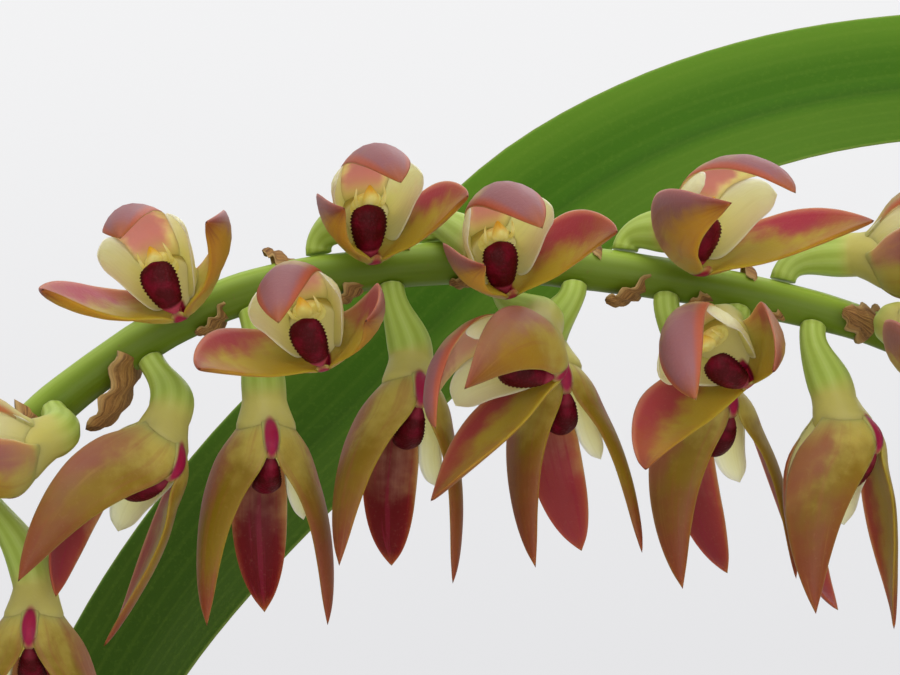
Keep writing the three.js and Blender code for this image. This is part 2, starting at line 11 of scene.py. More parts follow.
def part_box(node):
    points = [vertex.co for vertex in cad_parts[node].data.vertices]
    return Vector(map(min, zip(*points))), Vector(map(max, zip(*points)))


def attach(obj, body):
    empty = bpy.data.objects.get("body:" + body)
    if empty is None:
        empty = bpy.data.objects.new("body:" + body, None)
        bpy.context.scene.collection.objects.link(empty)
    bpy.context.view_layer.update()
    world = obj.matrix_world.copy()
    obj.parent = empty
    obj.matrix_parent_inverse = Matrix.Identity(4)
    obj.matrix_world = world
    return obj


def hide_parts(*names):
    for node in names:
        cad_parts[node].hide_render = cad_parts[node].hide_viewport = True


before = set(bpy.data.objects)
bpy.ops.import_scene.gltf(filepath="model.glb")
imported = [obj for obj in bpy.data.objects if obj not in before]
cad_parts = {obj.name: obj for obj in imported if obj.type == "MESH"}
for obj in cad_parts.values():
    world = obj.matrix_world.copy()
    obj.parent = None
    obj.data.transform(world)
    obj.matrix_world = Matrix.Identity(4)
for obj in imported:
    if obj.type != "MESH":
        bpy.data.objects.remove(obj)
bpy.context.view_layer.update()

bl_info = {
    "name": "Potted Bulbophyllum pumilum",
    "version": (1, 0, 0),
    "blender": (4, 5, 0),
    "location": "3D View > Sidebar > Orchid",
    "description": "A small creeping orchid in a clay pot, with its arching stalk of flowers",
    "category": "Object",
}

# Shape tables are in millimetres, in the part's own frame, and a finished piece is scaled to metres.
MM = 0.001
BODY = "root"

POT_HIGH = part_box("clay_pot")[1]
BARK_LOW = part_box("bark_mix")[0]
SEAT_GAP = 0.3

# Rhizome, roots and pseudobulbs
RHIZOME_LEVEL = 67.9
RHIZOME_RUNS = [
    [[-32, 9], [-22, 7], [-10, 8], [1, 4], [12, 2], [25, 7]],
    [[-10, 8], [-13, -3], [-6, -13], [7, -20]],
    [[1, 4], [7, 14], [3, 27]],
]
# Roots: start on the rhizome, heading in degrees and length
ROOTS = [
    ([-28, 9], 112, 11), ([-20, 7], -112, 22), ([-12, 3], 196, 19), ([14, 3], 52, 20), ([22, 6], -38, 17),
    ([2, -18], -68, 14), ([5, 22], 24, 18), ([-4, -14], -140, 19),
]
# Pseudobulbs: place on the rhizome, height, radius, lean and leaf. The first one bears the long leaf.
BULB_WORDS = ("at", "height", "radius", "lean", "leaf")
LEAF_WORDS = ("heading", "length", "width", "rise", "droop")
BULBS = [dict(zip(BULB_WORDS, row)) for row in [
    ([9.5, 2.3], 24, 5.6, [0, 0], None),
    ([-28, 9], 21, 5.2, [-2, 1], (165, 92, 12, 74, 78)),
    ([-15.5, 7], 23, 5.6, [-1, 2], (128, 118, 12.5, 80, 62)),
    ([-3, 6.2], 25, 5.8, [-1, 1], (196, 128, 13, 84, 58)),
    ([22, 5.8], 19, 5, [2, 1], (20, 84, 11.5, 60, 74)),
    ([-12.5, -4.5], 20, 5.2, [-2, -1], (222, 96, 12, 68, 80)),
    ([1, -17], 17, 4.8, [0, -2], (-62, 72, 10.5, 58, 70)),
    ([6.5, 19.5], 21, 5.2, [1, 2], (97, 98, 12, 72, 70)),
]]
LEAF_PIECES = 12
LEAF_STALK_SHARE = 0.14
LEAF_CHANNEL = 0.2
LONG_LEAF_WIDTH = 7.4
# The long leaf's middle line above its bulb, and the way it faces near its foot and beyond
LONG_LEAF_COURSE = [
    [11, 2, 108], [14.5, 1.5, 121], [19, 1, 134], [23.3, 1, 144.5], [27.4, 1, 152.3], [31.8, 1, 158],
    [36.6, 1, 162.8], [41, 1, 167.1], [44.8, 1, 170.5], [49, 1, 172.9], [53.5, 1, 174.5],
    [58.5, 1, 175.4], [64, 1, 175.6], [70, 1, 174.3], [76, 1.5, 171.3], [81, 2, 167.2], [84.5, 2.5, 163],
]
LONG_LEAF_FACES = [[-0.62, -0.6, 0.3], [-0.05, -0.78, 0.62]]

# Flower stalk: its middle line, its radii, where the flowers start and where its sheaths sit
STALK_COURSE = [
    [14.89, 1.49, 69.28], [15.8, -0.9, 72.6], [15.3, -3.9, 78], [13.2, -7.6, 90], [12.3, -11, 108],
    [12.8, -12, 126], [14, -12, 141], [16.5, -12, 150], [19.5, -12, 156.2], [22.9, -12, 160.6],
    [26.9, -12, 164], [31.5, -12, 166.5], [36.9, -12, 167.6], [41.9, -12, 167.9], [46.5, -12, 167.5],
    [51.2, -12, 166.7], [56.2, -12, 165.4], [61, -12, 163.2], [66, -12, 160], [70.5, -12, 155.8],
    [74, -12, 150.5],
]
STALK_RADII = {"foot": 0.95, "flowers": 0.8, "tip": 0.45}
FLOWERS_FROM = 60
SHEATHS = [[6, 17], [27, 38], [48, 57]]

# Flowers, in the order in which they sit on the stalk. tip is the distance back from the stalk's tip,
# side the rank, reach the way from the stalk to the flower's cup as right, near and up, and turn how
# the flower looks, as yaw to the right, pitch up and roll about its own axis. lip_back is how far its
# hinged lip has swung in.
RANK_SEATS = {
    "upper": [0.25, -0.15, 0.95], "front": [0.3, 0.95, -0.1], "lower": [0.35, 0.5, -0.8],
    "left": [-0.9, 0.4, 0], "right": [0.9, 0.4, 0],
}
BLOOM_WORDS = ("tip", "side", "reach", "turn", "open", "size", "bract", "lip_back")
BLOOMS = [dict(zip(BLOOM_WORDS, row)) for row in [
    (79.76, "right", [2.3, 1.2, 0.3], [62, -32, 0], 1, 1, 1, 0),
    (71.76, "left", [-2.2, 1.6, 0.6], [-50, -30, 0], 1, 1, 1, 0),
    (61.26, "lower", [2.6, 1.6, -3.75], [0, -76, 180], 0.9, 1, 1, 0),
    (56.86, "front", [0.2, 2.8, -1.07], [-65, -15, 0], 1, 1, 1.7, 0),
    (52.66, "lower", [1.23, 2, -2.78], [-54, -59, -75], 1, 1, 2.1, 0),
    (50.36, "upper", [-0.6, 1.5, 1.29], [-7, 3, -22], 1.18, 1, 1, 0),
    (48.16, "lower", [0.77, 1.2, -4.11], [8, -78, 183], 0.85, 1, 1, 0),
    (46.46, "front", [1.25, 3.2, -1.33], [-6, -9, -16], 1.15, 1, 0.6, 0),
    (45.16, "upper", [1.46, 1.4, 2.2], [13, 0, -6], 0.84, 1, 1, 0.55),
    (42.56, "lower", [0.85, 1, -3.58], [-7, -66, 204], 0.82, 1, 1, 0),
    (40.76, "upper", [1.85, 3, 0.47], [16, -3, -14], 0.93, 1, 1, 0.6),
    (38.16, "lower", [1.35, 3.6, -2.46], [-26, -31, -62], 1, 1, 1, 0),
    (35.36, "lower", [-1.2, 0.2, -3.03], [31, -68, 162], 0.78, 1, 0.75, 0),
    (33.56, "upper", [1.95, 1.2, 1.6], [29, 1, 5], 1.15, 1, 1, 0.7),
    (31.76, "lower", [1.2, -0.5, -3.34], [36, -72, 172], 0.95, 1, 1, 0),
    (28.96, "lower", [-1, 3.6, -1.39], [-6, -24, -40], 1.1, 1, 0.75, 0),
    (27.46, "upper", [3, 0, 1.8], [62, 3, 0], 1, 1, 1, 0),
    (25.96, "lower", [0.5, 1.75, -3.4], [17, -72, 213], 0.95, 1, 0.75, 0),
    (22.76, "front", [-0.2, 3.4, 0.4], [25, -12, 0], 1, 1, 1, 0),
    (19.46, "upper", [2.4, 0.6, 1.4], [50, 0, 0], 1, 0.95, 1, 0),
    (16.46, "lower", [0.5, 0.8, -3], [10, -72, 190], 0.9, 0.9, 1, 0),
    (13.76, "front", [0.8, 2.8, -0.6], [30, -24, 0], 1, 0.85, 1, 0),
    (10.16, "upper", [1.9, 0.3, 0.9], [70, -10, 0], 0, 0.85, 1, 0),
    (7.16, "lower", [-0.6, 0.6, -2], [-60, -62, 0], 0, 0.75, 1, 0),
    (4.16, "upper", [1.5, 0.3, 0.1], [75, -35, 0], 0, 0.62, 1, 0),
]]

# Which of a flower's finishes a face takes
SIDE_SKIN, BACK_SKIN, PETAL_SKIN, LIP_SKIN, COLUMN_SKIN, OVARY_SKIN = range(6)

# Flower parts in the flower's own frame: x to its right, y to the back sepal, z the way it opens. A
# blade is given by the points of its two edges; bulge is how far its middle stands out from them, and
# grid its number of sides and rows.
SIDE_SEPAL = {
    "finish": SIDE_SKIN, "grid": (20, 34),
    "lower": [[0.1, -0.7, 0.3], [0.1, -1.4, 1.15], [0.1, -1.78, 1.9], [0.34, -1.6, 2.75],
              [1.2, -1.3, 3.9], [1.8, -0.85, 5.1], [2.18, -0.38, 6.4], [2.45, 0.02, 7.65], [2.7, 0.3, 8.6]],
    "upper": [[0.65, -0.1, 0.3], [1.33, 0.1, 1.2], [2.12, 0.58, 2.15], [2.6, 0.92, 3.3], [2.86, 1, 4.5],
              [3.0, 0.9, 5.7], [3.04, 0.7, 6.8], [2.94, 0.48, 7.8], [2.7, 0.3, 8.6]],
    "bulge": [0, 0.14, 0.36, 0.42, 0.36, 0.28, 0.18, 0.08, 0],
    "half_thickness": 0.19,
}
BACK_SEPAL = {
    "finish": BACK_SKIN, "grid": (20, 34),
    "lower": [[0.45, 0.35, 0.3], [0.85, 0.85, 1.1], [1.05, 1.65, 2.1], [1.1, 1.95, 3.3], [1.06, 1.98, 4.6],
              [0.95, 1.85, 5.6], [0.75, 1.65, 6.5], [0.44, 1.35, 7.3], [0, 1, 8]],
    "bulge": [0.1, 0.2, 0.42, 0.5, 0.48, 0.4, 0.3, 0.16, 0],
    "half_thickness": 0.19,
}
BACK_SEPAL["upper"] = [[-x, y, z] for x, y, z in BACK_SEPAL["lower"]]
PETAL = {
    "finish": PETAL_SKIN, "grid": (14, 22),
    "lower": [[0.25, -0.9, 0.9], [0.55, -1.12, 1.5], [0.85, -1.05, 2.1], [1.17, -0.45, 2.75],
              [1.46, 0.25, 3.35], [1.68, 0.78, 3.98], [1.62, 1.32, 4.4]],
    "upper": [[0.5, 0.5, 0.5], [0.78, 1.1, 1.1], [0.9, 1.55, 1.8], [0.98, 1.85, 2.6],
              [1.1, 1.95, 3.35], [1.34, 1.8, 4], [1.62, 1.32, 4.4]],
    "bulge": [0.05, 0.18, 0.3, 0.34, 0.28, 0.18, 0],
    "half_thickness": 0.07,
}
LIP = {
    "finish": LIP_SKIN, "grid": (20, 50),
    "middle": [[0, -1.3, 1.5], [0, -1.52, 2], [0, -1.42, 2.4], [0, -1.22, 2.68], [0, -0.85, 2.98],
               [0, -0.42, 3.2], [0, 0, 3.32], [0, 0.3, 3.3], [0, 0.42, 3.24]],
    "half_width": [0.12, 0.12, 0.16, 0.36, 0.5, 0.59, 0.58, 0.42, 0],
    "bulge": [0, 0, 0.03, 0.12, 0.2, 0.22, 0.2, 0.14, 0],
    "half_thickness": 0.14,
}
COLUMN = {
    "finish": COLUMN_SKIN, "grid": (16, 16),
    "middle": [[0, -0.1, 0.3], [0, 0.3, 1.2], [0, 0.6, 1.9], [0, 0.78, 2.45]],
    "half_width": [0.6, 0.6, 0.54, 0.34],
    "bulge": [0, 0, 0, 0],
    "half_thickness": 0.36,
}
# The chin: the keel under the lip, where the two side sepals are joined
CHIN = {
    "finish": SIDE_SKIN, "grid": (12, 20),
    "middle": [[0, -0.8, 0.5], [0, -1.33, 1.1], [0, -1.66, 1.6], [0, -1.74, 2.02], [0, -1.6, 2.4],
               [0, -1.44, 2.58]],
    "half_width": [0.3, 0.34, 0.34, 0.32, 0.26, 0.05],
    "bulge": [0, 0, 0, 0, 0, 0],
    "half_thickness": 0.1,
}
# The cup: centre's y, radius and height of each ring, out to its rim and back down inside
CUP_RINGS = [
    [-0.05, 0.89, 0.2], [-0.1, 0.96, 0.45], [-0.17, 1.04, 0.7], [-0.24, 1.12, 0.95], [-0.29, 1.14, 1.18],
    [-0.31, 1.08, 1.34], [-0.3, 0.95, 1.4], [-0.25, 0.7, 1.28], [-0.2, 0.3, 1.2],
]
OVARY_RADII = [0.5, 0.85]
BUD = {"length": 5, "radius": 1.15}
BRACT_LENGTH = 2

# Helpers for numbers, curves and shapes


def mix(low, high, share):
    return low + (high - low) * share


def smooth(value, low, high):
    share = min(max((value - low) / (high - low), 0), 1)
    return share * share * (3 - 2 * share)


def through(values, share):
    """A value on the smooth line through evenly spaced numbers or points."""
    last = len(values) - 1
    place = min(max(share, 0), 1) * last
    k = min(int(place), last - 1)
    a, b = values[k], values[k + 1]
    before = values[k - 1] if k > 0 else a * 2 - b
    after = values[k + 2] if k + 2 <= last else b * 2 - a
    t = place - k
    start, end = (b - before) * 0.5, (after - a) * 0.5
    return (a * (1 - 3 * t * t + 2 * t ** 3) + b * (3 * t * t - 2 * t ** 3)
            + start * (t - 2 * t * t + t ** 3) + end * (t ** 3 - t * t))


def shade(red, green, blue):
    """A display colour, 0 to 255, as the linear colour that materials take."""
    def linear(value):
        value /= 255
        return value / 12.92 if value <= 0.04045 else ((value + 0.055) / 1.055) ** 2.4
    return (linear(red), linear(green), linear(blue))


class Course:
    """A smooth line through points that keeps their spacing, read by the share of its length."""

    SAMPLES = 600

    def __init__(self, points):
        self.points = [Vector(point) for point in points]
        self.places = [self._point(k / self.SAMPLES) for k in range(self.SAMPLES + 1)]
        self.marks = [0.0]
        for before, after in zip(self.places, self.places[1:]):
            self.marks.append(self.marks[-1] + (after - before).length)
        self.length = self.marks[-1]

    def _point(self, share):
        last = len(self.points) - 1
        place = share * last
        k = min(int(place), last - 1)
        p1, p2 = self.points[k], self.points[k + 1]
        p0 = self.points[k - 1] if k > 0 else p1 * 2 - p2
        p3 = self.points[k + 2] if k + 2 <= last else p2 * 2 - p1
        d0, d1, d2 = ((b - a).length ** 0.5 for a, b in ((p0, p1), (p1, p2), (p2, p3)))
        start = ((p1 - p0) / d0 - (p2 - p0) / (d0 + d1) + (p2 - p1) / d1) * d1
        end = ((p2 - p1) / d1 - (p3 - p1) / (d1 + d2) + (p3 - p2) / d2) * d1
        t = place - k
        return (p1 + start * t + (p2 * 3 - p1 * 3 - start * 2 - end) * t ** 2
                + (p1 * 2 - p2 * 2 + start + end) * t ** 3)

    def at(self, share):
        want = min(max(share, 0), 1) * self.length
        k = min(max(bisect.bisect_right(self.marks, want) - 1, 0), self.SAMPLES - 1)
        part = (want - self.marks[k]) / (self.marks[k + 1] - self.marks[k])
        return self.places[k].lerp(self.places[k + 1], part)

    def ahead(self, share):
        return (self.at(share + 0.004) - self.at(share - 0.004)).normalized()


def square_to(vector, axis):
    """The part of a vector that is square to an axis, at length 1."""
    return (vector - axis * vector.dot(axis)).normalized()


def outward(angle):
    """The level way out at an angle about an upright axis."""
    return Vector((math.cos(angle), math.sin(angle), 0))


def new_shape():
    """An empty mesh whose corners carry the marks that the materials read."""
    bm = bmesh.new()
    for word in ("spot", "place", "tone"):
        bm.verts.layers.float_vector.new(word)
    return bm


def skin(bm, sides, rows, place, finish=0):
    """A closed skin: a sphere's rings moved to where place(row, angle, spread) says. It gives each
    point with its two marks. The first and last rows are points, where spread is 0."""
    marks = bm.verts.layers.float_vector["place"]
    tones = bm.verts.layers.float_vector["tone"]
    made = bmesh.ops.create_uvsphere(bm, u_segments=sides, v_segments=rows, radius=1)["verts"]
    for vert in made:
        row = round(math.acos(max(-1.0, min(1.0, -vert.co.z))) / math.pi * rows)
        spread = 0 if row in (0, rows) else 1
        vert.co, vert[marks], vert[tones] = place(row, math.atan2(vert.co.y, vert.co.x), spread)
    for face in {face for vert in made for face in vert.link_faces}:
        face.material_index = finish
        face.smooth = True


def tube(bm, course, steps, sides, radius_at, finish=0, draw=0.5):
    """A tube along a course. Marks: place across, share of the length, length in millimetres."""
    side = square_to(Vector((0.3, 1, 0.2)), course.ahead(0))
    frames = []
    for step in range(steps + 1):
        ahead = course.ahead(step / steps)
        side = square_to(side, ahead)
        frames.append((course.at(step / steps), side, ahead.cross(side)))

    def place(row, angle, spread):
        step = min(max(row - 1, 0), steps)
        middle, right, up = frames[step]
        reach = radius_at(step / steps, angle) * spread
        point = middle + right * reach * math.cos(angle) + up * reach * math.sin(angle)
        share = step / steps
        return point, (math.cos(angle), share, share * course.length), (draw, math.sin(angle), spread)

    skin(bm, sides, steps + 2, place, finish)


def blade(bm, part, across_x, size, tone, ripple=None):
    """A closed blade between two edges. Marks: place across, place along, inner face or outer."""
    lower = [Vector(point) for point in part["lower"]]
    upper = [Vector(point) for point in part["upper"]]
    sides, rows = part["grid"]
    step = 0.02

    def place(row, angle, spread):
        share = row / rows
        low, high = through(lower, share), through(upper, share)
        before, after = share - step, share + step
        along = (through(lower, after) + through(upper, after) - through(lower, before)
                 - through(upper, before)).normalized()
        middle, half = (low + high) / 2, (high - low) / 2
        wide = square_to(high - low, along) if spread else Vector((1, 0, 0))
        out = wide.cross(along)
        across = math.cos(angle)
        if ripple:
            half = half * ripple(row)
        bulge = through(part["bulge"], share) * math.sin(angle) ** 2
        thick = part["half_thickness"] * math.sqrt(max(0.06, 1 - share ** 3)) * math.sin(angle)
        point = middle + (half * across + out * (bulge + thick)) * spread
        point.x *= across_x
        return point * size, (across * spread, share, -math.sin(angle) * spread), tone

    skin(bm, sides, rows, place, part["finish"])


def strip(part):
    """A blade that is wide across x, given by its middle line and half width."""
    lines = list(zip(part["middle"], part["half_width"]))
    return {
        **part,
        "lower": [[x - half, y, z] for (x, y, z), half in lines],
        "upper": [[x + half, y, z] for (x, y, z), half in lines],
    }


def outlined(bm, outline):
    """The corners and edges of an outline that is given as radius and height."""
    corners = [bm.verts.new((radius, 0, z)) for radius, z in outline]
    return corners, [bm.edges.new(pair) for pair in zip(corners, corners[1:])]


def turned(bm, steps):
    """Turn the outline in a mesh about the upright axis."""
    bmesh.ops.spin(bm, geom=bm.verts[:] + bm.edges[:], cent=(0, 0, 0), axis=(0, 0, 1), angle=2 * math.pi,
                   steps=steps, use_merge=True)
    bmesh.ops.remove_doubles(bm, verts=bm.verts, dist=0.001)


def mesh_of(bm, name, materials=()):
    """The shape as a mesh, with its materials. The shape is used up."""
    mesh = bpy.data.meshes.new(name)
    bm.to_mesh(mesh)
    bm.free()
    for material in materials:
        mesh.materials.append(material)
    return mesh


def put(name, data):
    """A new object in the scene for a mesh, a light or a camera."""
    made = bpy.data.objects.new(name, data)
    bpy.context.scene.collection.objects.link(made)
    return made


def finish_piece(bm, name, materials, node):
    """Turn a shape in millimetres into a piece of the scene that stands for its node."""
    bmesh.ops.recalc_face_normals(bm, faces=bm.faces)
    bmesh.ops.scale(bm, vec=(MM, MM, MM), verts=bm.verts)
    piece = put(name, mesh_of(bm, name, materials))
    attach(piece, BODY)
    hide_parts(node)
    return piece


# Materials


class Wire:
    """One output of a material's node, used as a number in expressions."""

    def __init__(self, paint, socket):
        self.paint = paint
        self.socket = socket

    def maths(self, operation, *values):
        return self.paint.node("ShaderNodeMath", {"operation": operation}, dict(enumerate(values)))

    def __add__(self, other):
        return self.maths("ADD", self, other)

    def __sub__(self, other):
        return self.maths("SUBTRACT", self, other)

    def __rsub__(self, other):
        return self.maths("SUBTRACT", other, self)

    def __mul__(self, other):
        return self.maths("MULTIPLY", self, other)

    __radd__ = __add__
    __rmul__ = __mul__

    def size(self):
        return self.maths("ABSOLUTE", self)

    def sine(self):
        return self.maths("SINE", self)

    def rise(self, low, high):
        """0 below low and 1 above high, with a smooth step between them, or the other way round."""
        values = {"Value": self, "From Min": low, "From Max": high}
        return self.paint.node("ShaderNodeMapRange", {"interpolation_type": "SMOOTHSTEP"}, values)


class Paint:
    """A procedural material or background, with the few node calls that this part's finishes use."""

    def __init__(self, name, owner=None):
        self.material = owner or bpy.data.materials.new(name)
        self.material.use_nodes = True
        self.tree = self.material.node_tree
        self.shader = self.tree.nodes["Background" if owner else "Principled BSDF"]

    def node(self, kind, settings=None, values=None, out=0):
        made = self.tree.nodes.new(kind)
        for word, setting in (settings or {}).items():
            setattr(made, word, setting)
        for socket, value in (values or {}).items():
            if isinstance(value, Wire):
                self.tree.links.new(value.socket, made.inputs[socket])
            else:
                made.inputs[socket].default_value = value
        return Wire(self, made.outputs[out])

    def drive(self, word, value):
        """Give a socket of the shader a link, or a fixed value."""
        if isinstance(value, Wire):
            self.tree.links.new(value.socket, self.shader.inputs[word])
        else:
            self.shader.inputs[word].default_value = value

    def split(self, vector):
        return [self.node("ShaderNodeSeparateXYZ", None, {0: vector}, out=k) for k in range(3)]

    def mark(self, name):
        """The three numbers of a mark that the mesh carries."""
        return self.split(self.node("ShaderNodeAttribute", {"attribute_name": name}, out="Vector"))

    def where(self):
        return self.node("ShaderNodeTexCoord", out="Object")

    def joined(self, x, y, z):
        return self.node("ShaderNodeCombineXYZ", None, {0: x, 1: y, 2: z})

    def cloud(self, scale, detail=2.0, source=None, rough=0.5):
        """Smooth noise from 0 to 1, about 0.5 on average."""
        values = {"Vector": source or self.where(), "Scale": scale, "Detail": detail, "Roughness": rough}
        return self.node("ShaderNodeTexNoise", None, values)

    def cells(self, scale):
        return self.node("ShaderNodeTexVoronoi", None, {"Vector": self.where(), "Scale": scale})

    def streaks(self, across, share, draw, fine):
        """Long soft streaks that run from a blade's foot to its tip."""
        return self.cloud(1, 3, source=self.joined(across * fine, share * 1.5, draw * 40), rough=0.55)

    def blend(self, share, first, second):
        """Colour first, turned to second by the share."""
        first, second = (value if isinstance(value, Wire) else (*value[:3], 1.0) for value in (first, second))
        values = {0: share, 6: first, 7: second}
        return self.node("ShaderNodeMix", {"data_type": "RGBA"}, values, out=2)

    def coats(self, colour, *coats):
        """A colour with coats laid over it in turn, each given as its share and its own colour."""
        for share, coat in coats:
            colour = self.blend(share, colour, coat)
        return colour

    def finish(self, colour, rough, height=None, depth=0.00002, strength=0.5, **constants):
        """Give the shader its colour, roughness and relief, and its fixed values by socket name."""
        self.drive("Base Color", colour)
        self.drive("Roughness", rough)
        if height is not None:
            values = {"Strength": strength, "Distance": depth, "Height": height}
            self.drive("Normal", self.node("ShaderNodeBump", None, values))
        for word, value in constants.items():
            self.drive(word.replace("_", " "), value)
        return self.material

    def glow(self, colour, strength):
        """Light that comes through thin tissue, as a faint light of its own."""
        self.drive("Emission Color", colour)
        self.drive("Emission Strength", strength)


def flesh(weight, red, green, blue, scale):
    """The shader's fixed values for light that spreads inside soft tissue."""
    return {"Subsurface_Weight": weight, "Subsurface_Radius": (red, green, blue), "Subsurface_Scale": scale}


SEPAL_FLESH = flesh(0.45, 1.0, 0.62, 0.32, 0.001)
GREEN_FLESH = flesh(0.12, 0.5, 1.0, 0.2, 0.0006)
PETAL_FLESH = flesh(0.7, 1.0, 0.95, 0.55, 0.0014)
COLUMN_FLESH = flesh(0.5, 1.0, 0.8, 0.3, 0.001)
OVARY_FLESH = flesh(0.3, 0.9, 1.0, 0.4, 0.0009)


def clay_finish(pot):
    """Fired clay with turning lines, paler salt bloom and damp towards the foot."""
    paint = Paint("terracotta")
    _, _, up = paint.split(paint.where())
    patch = paint.cloud(38, 5, rough=0.62)
    grain = paint.cloud(900, 4, rough=0.7)
    rings = (up * 2600 + paint.cloud(30, 2) * 9).sine()
    salt = (patch.rise(0.5, 0.72) * grain.rise(0.35, 0.6) * up.rise(0.075, 0.02)) * 0.75
    moss = paint.cloud(70, 5, rough=0.7).rise(0.56, 0.7) * up.rise(0.05, 0.005) * 0.55
    colour = paint.coats(
        pot.clay,
        (patch.rise(0.35, 0.65), shade(176, 98, 66)),
        (salt, pot.salt),
        (up.rise(0.016, 0.001) * 0.5, shade(96, 62, 40)),
        (moss, shade(84, 92, 52)),
        (grain.rise(0.55, 0.8) * 0.3, shade(120, 58, 38)),
    )
    height = grain * 0.7 + rings * 0.08 + patch * 0.4
    return paint.finish(colour, 0.78 + grain * 0.2, height, 0.0004, 0.5)


def bark_finish(pot):
    """Fir bark with dark fibre lines and paler torn edges. The tone mark holds each chip's own draw."""
    paint = Paint("fir_bark")
    draw, _, _ = paint.mark("tone")
    x, y, z = paint.mark("place")
    fibre = paint.cloud(1.6, 5, source=paint.joined(x * 0.5 + draw * 31, y * 3.2, z * 3.2), rough=0.65)
    grain = paint.cloud(2600, 3, rough=0.7)
    colour = paint.coats(
        shade(92, 58, 38),
        (draw, pot.bark),
        (fibre.rise(0.42, 0.62) * 0.8, shade(58, 34, 22)),
        (fibre.rise(0.42, 0.3) * 0.6, shade(168, 122, 80)),
        (grain.rise(0.6, 0.8) * 0.35, shade(150, 132, 104)),
    )
    return paint.finish(colour, 0.82 + grain * 0.15, fibre + grain * 0.3, 0.0006, 0.8)


def rhizome_finish():
    """A creeping stem in papery brown scales over green."""
    paint = Paint("rhizome_skin")
    around, _, length = paint.mark("place")
    scale_edge = (length * 1.9).sine()
    fibre = paint.cloud(1, 4, source=paint.joined(around * 5, length * 0.4, 0.0), rough=0.6)
    colour = paint.coats(
        shade(126, 96, 54),
        (fibre.rise(0.35, 0.65), shade(92, 66, 38)),
        (scale_edge.rise(0.2, 0.9) * 0.55, shade(122, 132, 64)),
        (scale_edge.rise(-0.75, -0.98) * 0.7, shade(60, 40, 24)),
    )
    return paint.finish(colour, 0.6 + fibre * 0.25, scale_edge * 0.4 + fibre, 0.0002, 0.8)


def root_finish(growth):
    """White spongy root skin, stained with age and green near the growing end."""
    paint = Paint("root_skin")
    _, share, _ = paint.mark("place")
    fine = paint.cloud(3200, 3, rough=0.6)
    stain = paint.cloud(160, 3)
    colour = paint.coats(
        growth.root,
        (stain.rise(0.4, 0.62), shade(146, 132, 104)),
        (fine.rise(0.55, 0.75) * 0.4, shade(120, 104, 78)),
        (share.rise(0.82, 0.95), shade(128, 150, 78)),
    )
    return paint.finish(colour, 0.7 + fine * 0.2, fine, 0.0001, 0.6)


def bulb_finish(growth):
    """A ridged green pseudobulb, yellower on its ridges and scarred in dull brown at its foot."""
    paint = Paint("pseudobulb_skin")
    ridge, share, around = paint.mark("place")
    pores = paint.cloud(2400, 3, rough=0.6)
    patch = paint.cloud(140, 3)
    colour = paint.coats(
        shade(104, 122, 50),
        (share.rise(0.1, 0.9), growth.bulb),
        (ridge.rise(0.2, 0.95) * 0.5, shade(158, 162, 84)),
        (patch.rise(0.52, 0.7) * 0.45, shade(110, 104, 50)),
        (share.rise(0.16, 0.02) * 0.75, shade(112, 84, 48)),
        (pores.rise(0.62, 0.75) * 0.4, shade(84, 96, 40)),
    )
    wrinkle = paint.cloud(1, 4, source=paint.joined(around * 9, share * 3, ridge), rough=0.6)
    return paint.finish(colour, 0.34 + patch * 0.25, pores * 0.3 + wrinkle, 0.0002, 0.5,
                        Coat_Weight=0.12, Coat_Roughness=0.3, **SEPAL_FLESH)


def leaf_finish(growth):
    """A leathery leaf: faint long veins, a pale edge, fine pores, and painted shade in its channel and foot.
    """
    paint = Paint("leaf_skin")
    across, share, upper = paint.mark("place")
    veins = (across * 30 + paint.cloud(60, 2) * 1.5).sine()
    pores = paint.cloud(5200, 2, rough=0.6)
    patch = paint.cloud(70, 3)
    # Painted shade: one half lighter at its outer edge and darker into the channel, a dark line on the fold.
    top = paint.coats(
        shade(88, 126, 26),
        (across.rise(-0.96, -0.3), growth.leaf),
        (across.rise(-0.04, 0.3), shade(76, 112, 20)),
        (across.size().rise(0.14, 0.0) * 0.3, shade(36, 68, 2)),
    )
    under = paint.blend(patch.rise(0.4, 0.6), shade(92, 122, 44), shade(78, 108, 34))
    colour = paint.coats(
        under,
        (upper.rise(-0.2, 0.2), top),
        (patch.rise(0.35, 0.7) * 0.25, shade(52, 88, 10)),
        # Painted shade: each leaf is painted darker towards its foot.
        (share.rise(0.66, 0.47) * 0.85, shade(46, 68, 12)),
        (veins.rise(0.4, 1) * 0.06, shade(118, 142, 50)),
        (pores.rise(0.5, 0.75) * 0.1, shade(112, 140, 50)),
        (across.size().rise(0.95, 1) * 0.4, shade(150, 164, 84)),
        (share.rise(0.1, 0.0) * 0.6, shade(118, 134, 60)),
        (share.rise(0.985, 1.0) * 0.8, shade(130, 96, 50)),
    )
    height = veins * 0.08 + pores * 0.4
    return paint.finish(colour, 0.52 + patch * 0.12 + pores * 0.1, height, 0.00004, 0.4,
                        Specular_IOR_Level=0.1, **GREEN_FLESH)


def stalk_finish(growth):
    """A smooth yellow-green stalk with fine lines, small brown specks, a duller foot and painted shade below.
    """
    paint = Paint("stalk_skin")
    around, share, length = paint.mark("place")
    _, upper, _ = paint.mark("tone")
    lines = paint.cloud(1, 3, source=paint.joined(around * 7, length * 0.12, 0.0), rough=0.6)
    specks = paint.cloud(2600, 3, rough=0.65)
    patch = paint.cloud(260, 2)
    colour = paint.coats(
        growth.stalk,
        (lines.rise(0.35, 0.65), shade(158, 182, 74)),
        (patch.rise(0.5, 0.75) * 0.4, shade(122, 148, 40)),
        # Painted shade: the underside, by the upness in the tone mark, is painted a darker green than the
        # top.
        ((upper + (patch - 0.5) * 0.5).rise(0.7, -0.35) * 0.85, shade(88, 110, 8)),
        (specks.rise(0.66, 0.74) * 0.5, shade(120, 96, 52)),
        (share.rise(0.25, 0.02) * 0.5, shade(116, 112, 58)),
    )
    return paint.finish(colour, 0.4 + specks * 0.15, lines * 0.6 + specks * 0.4, 0.00004, 0.5,
                        Specular_IOR_Level=0.22, **GREEN_FLESH)


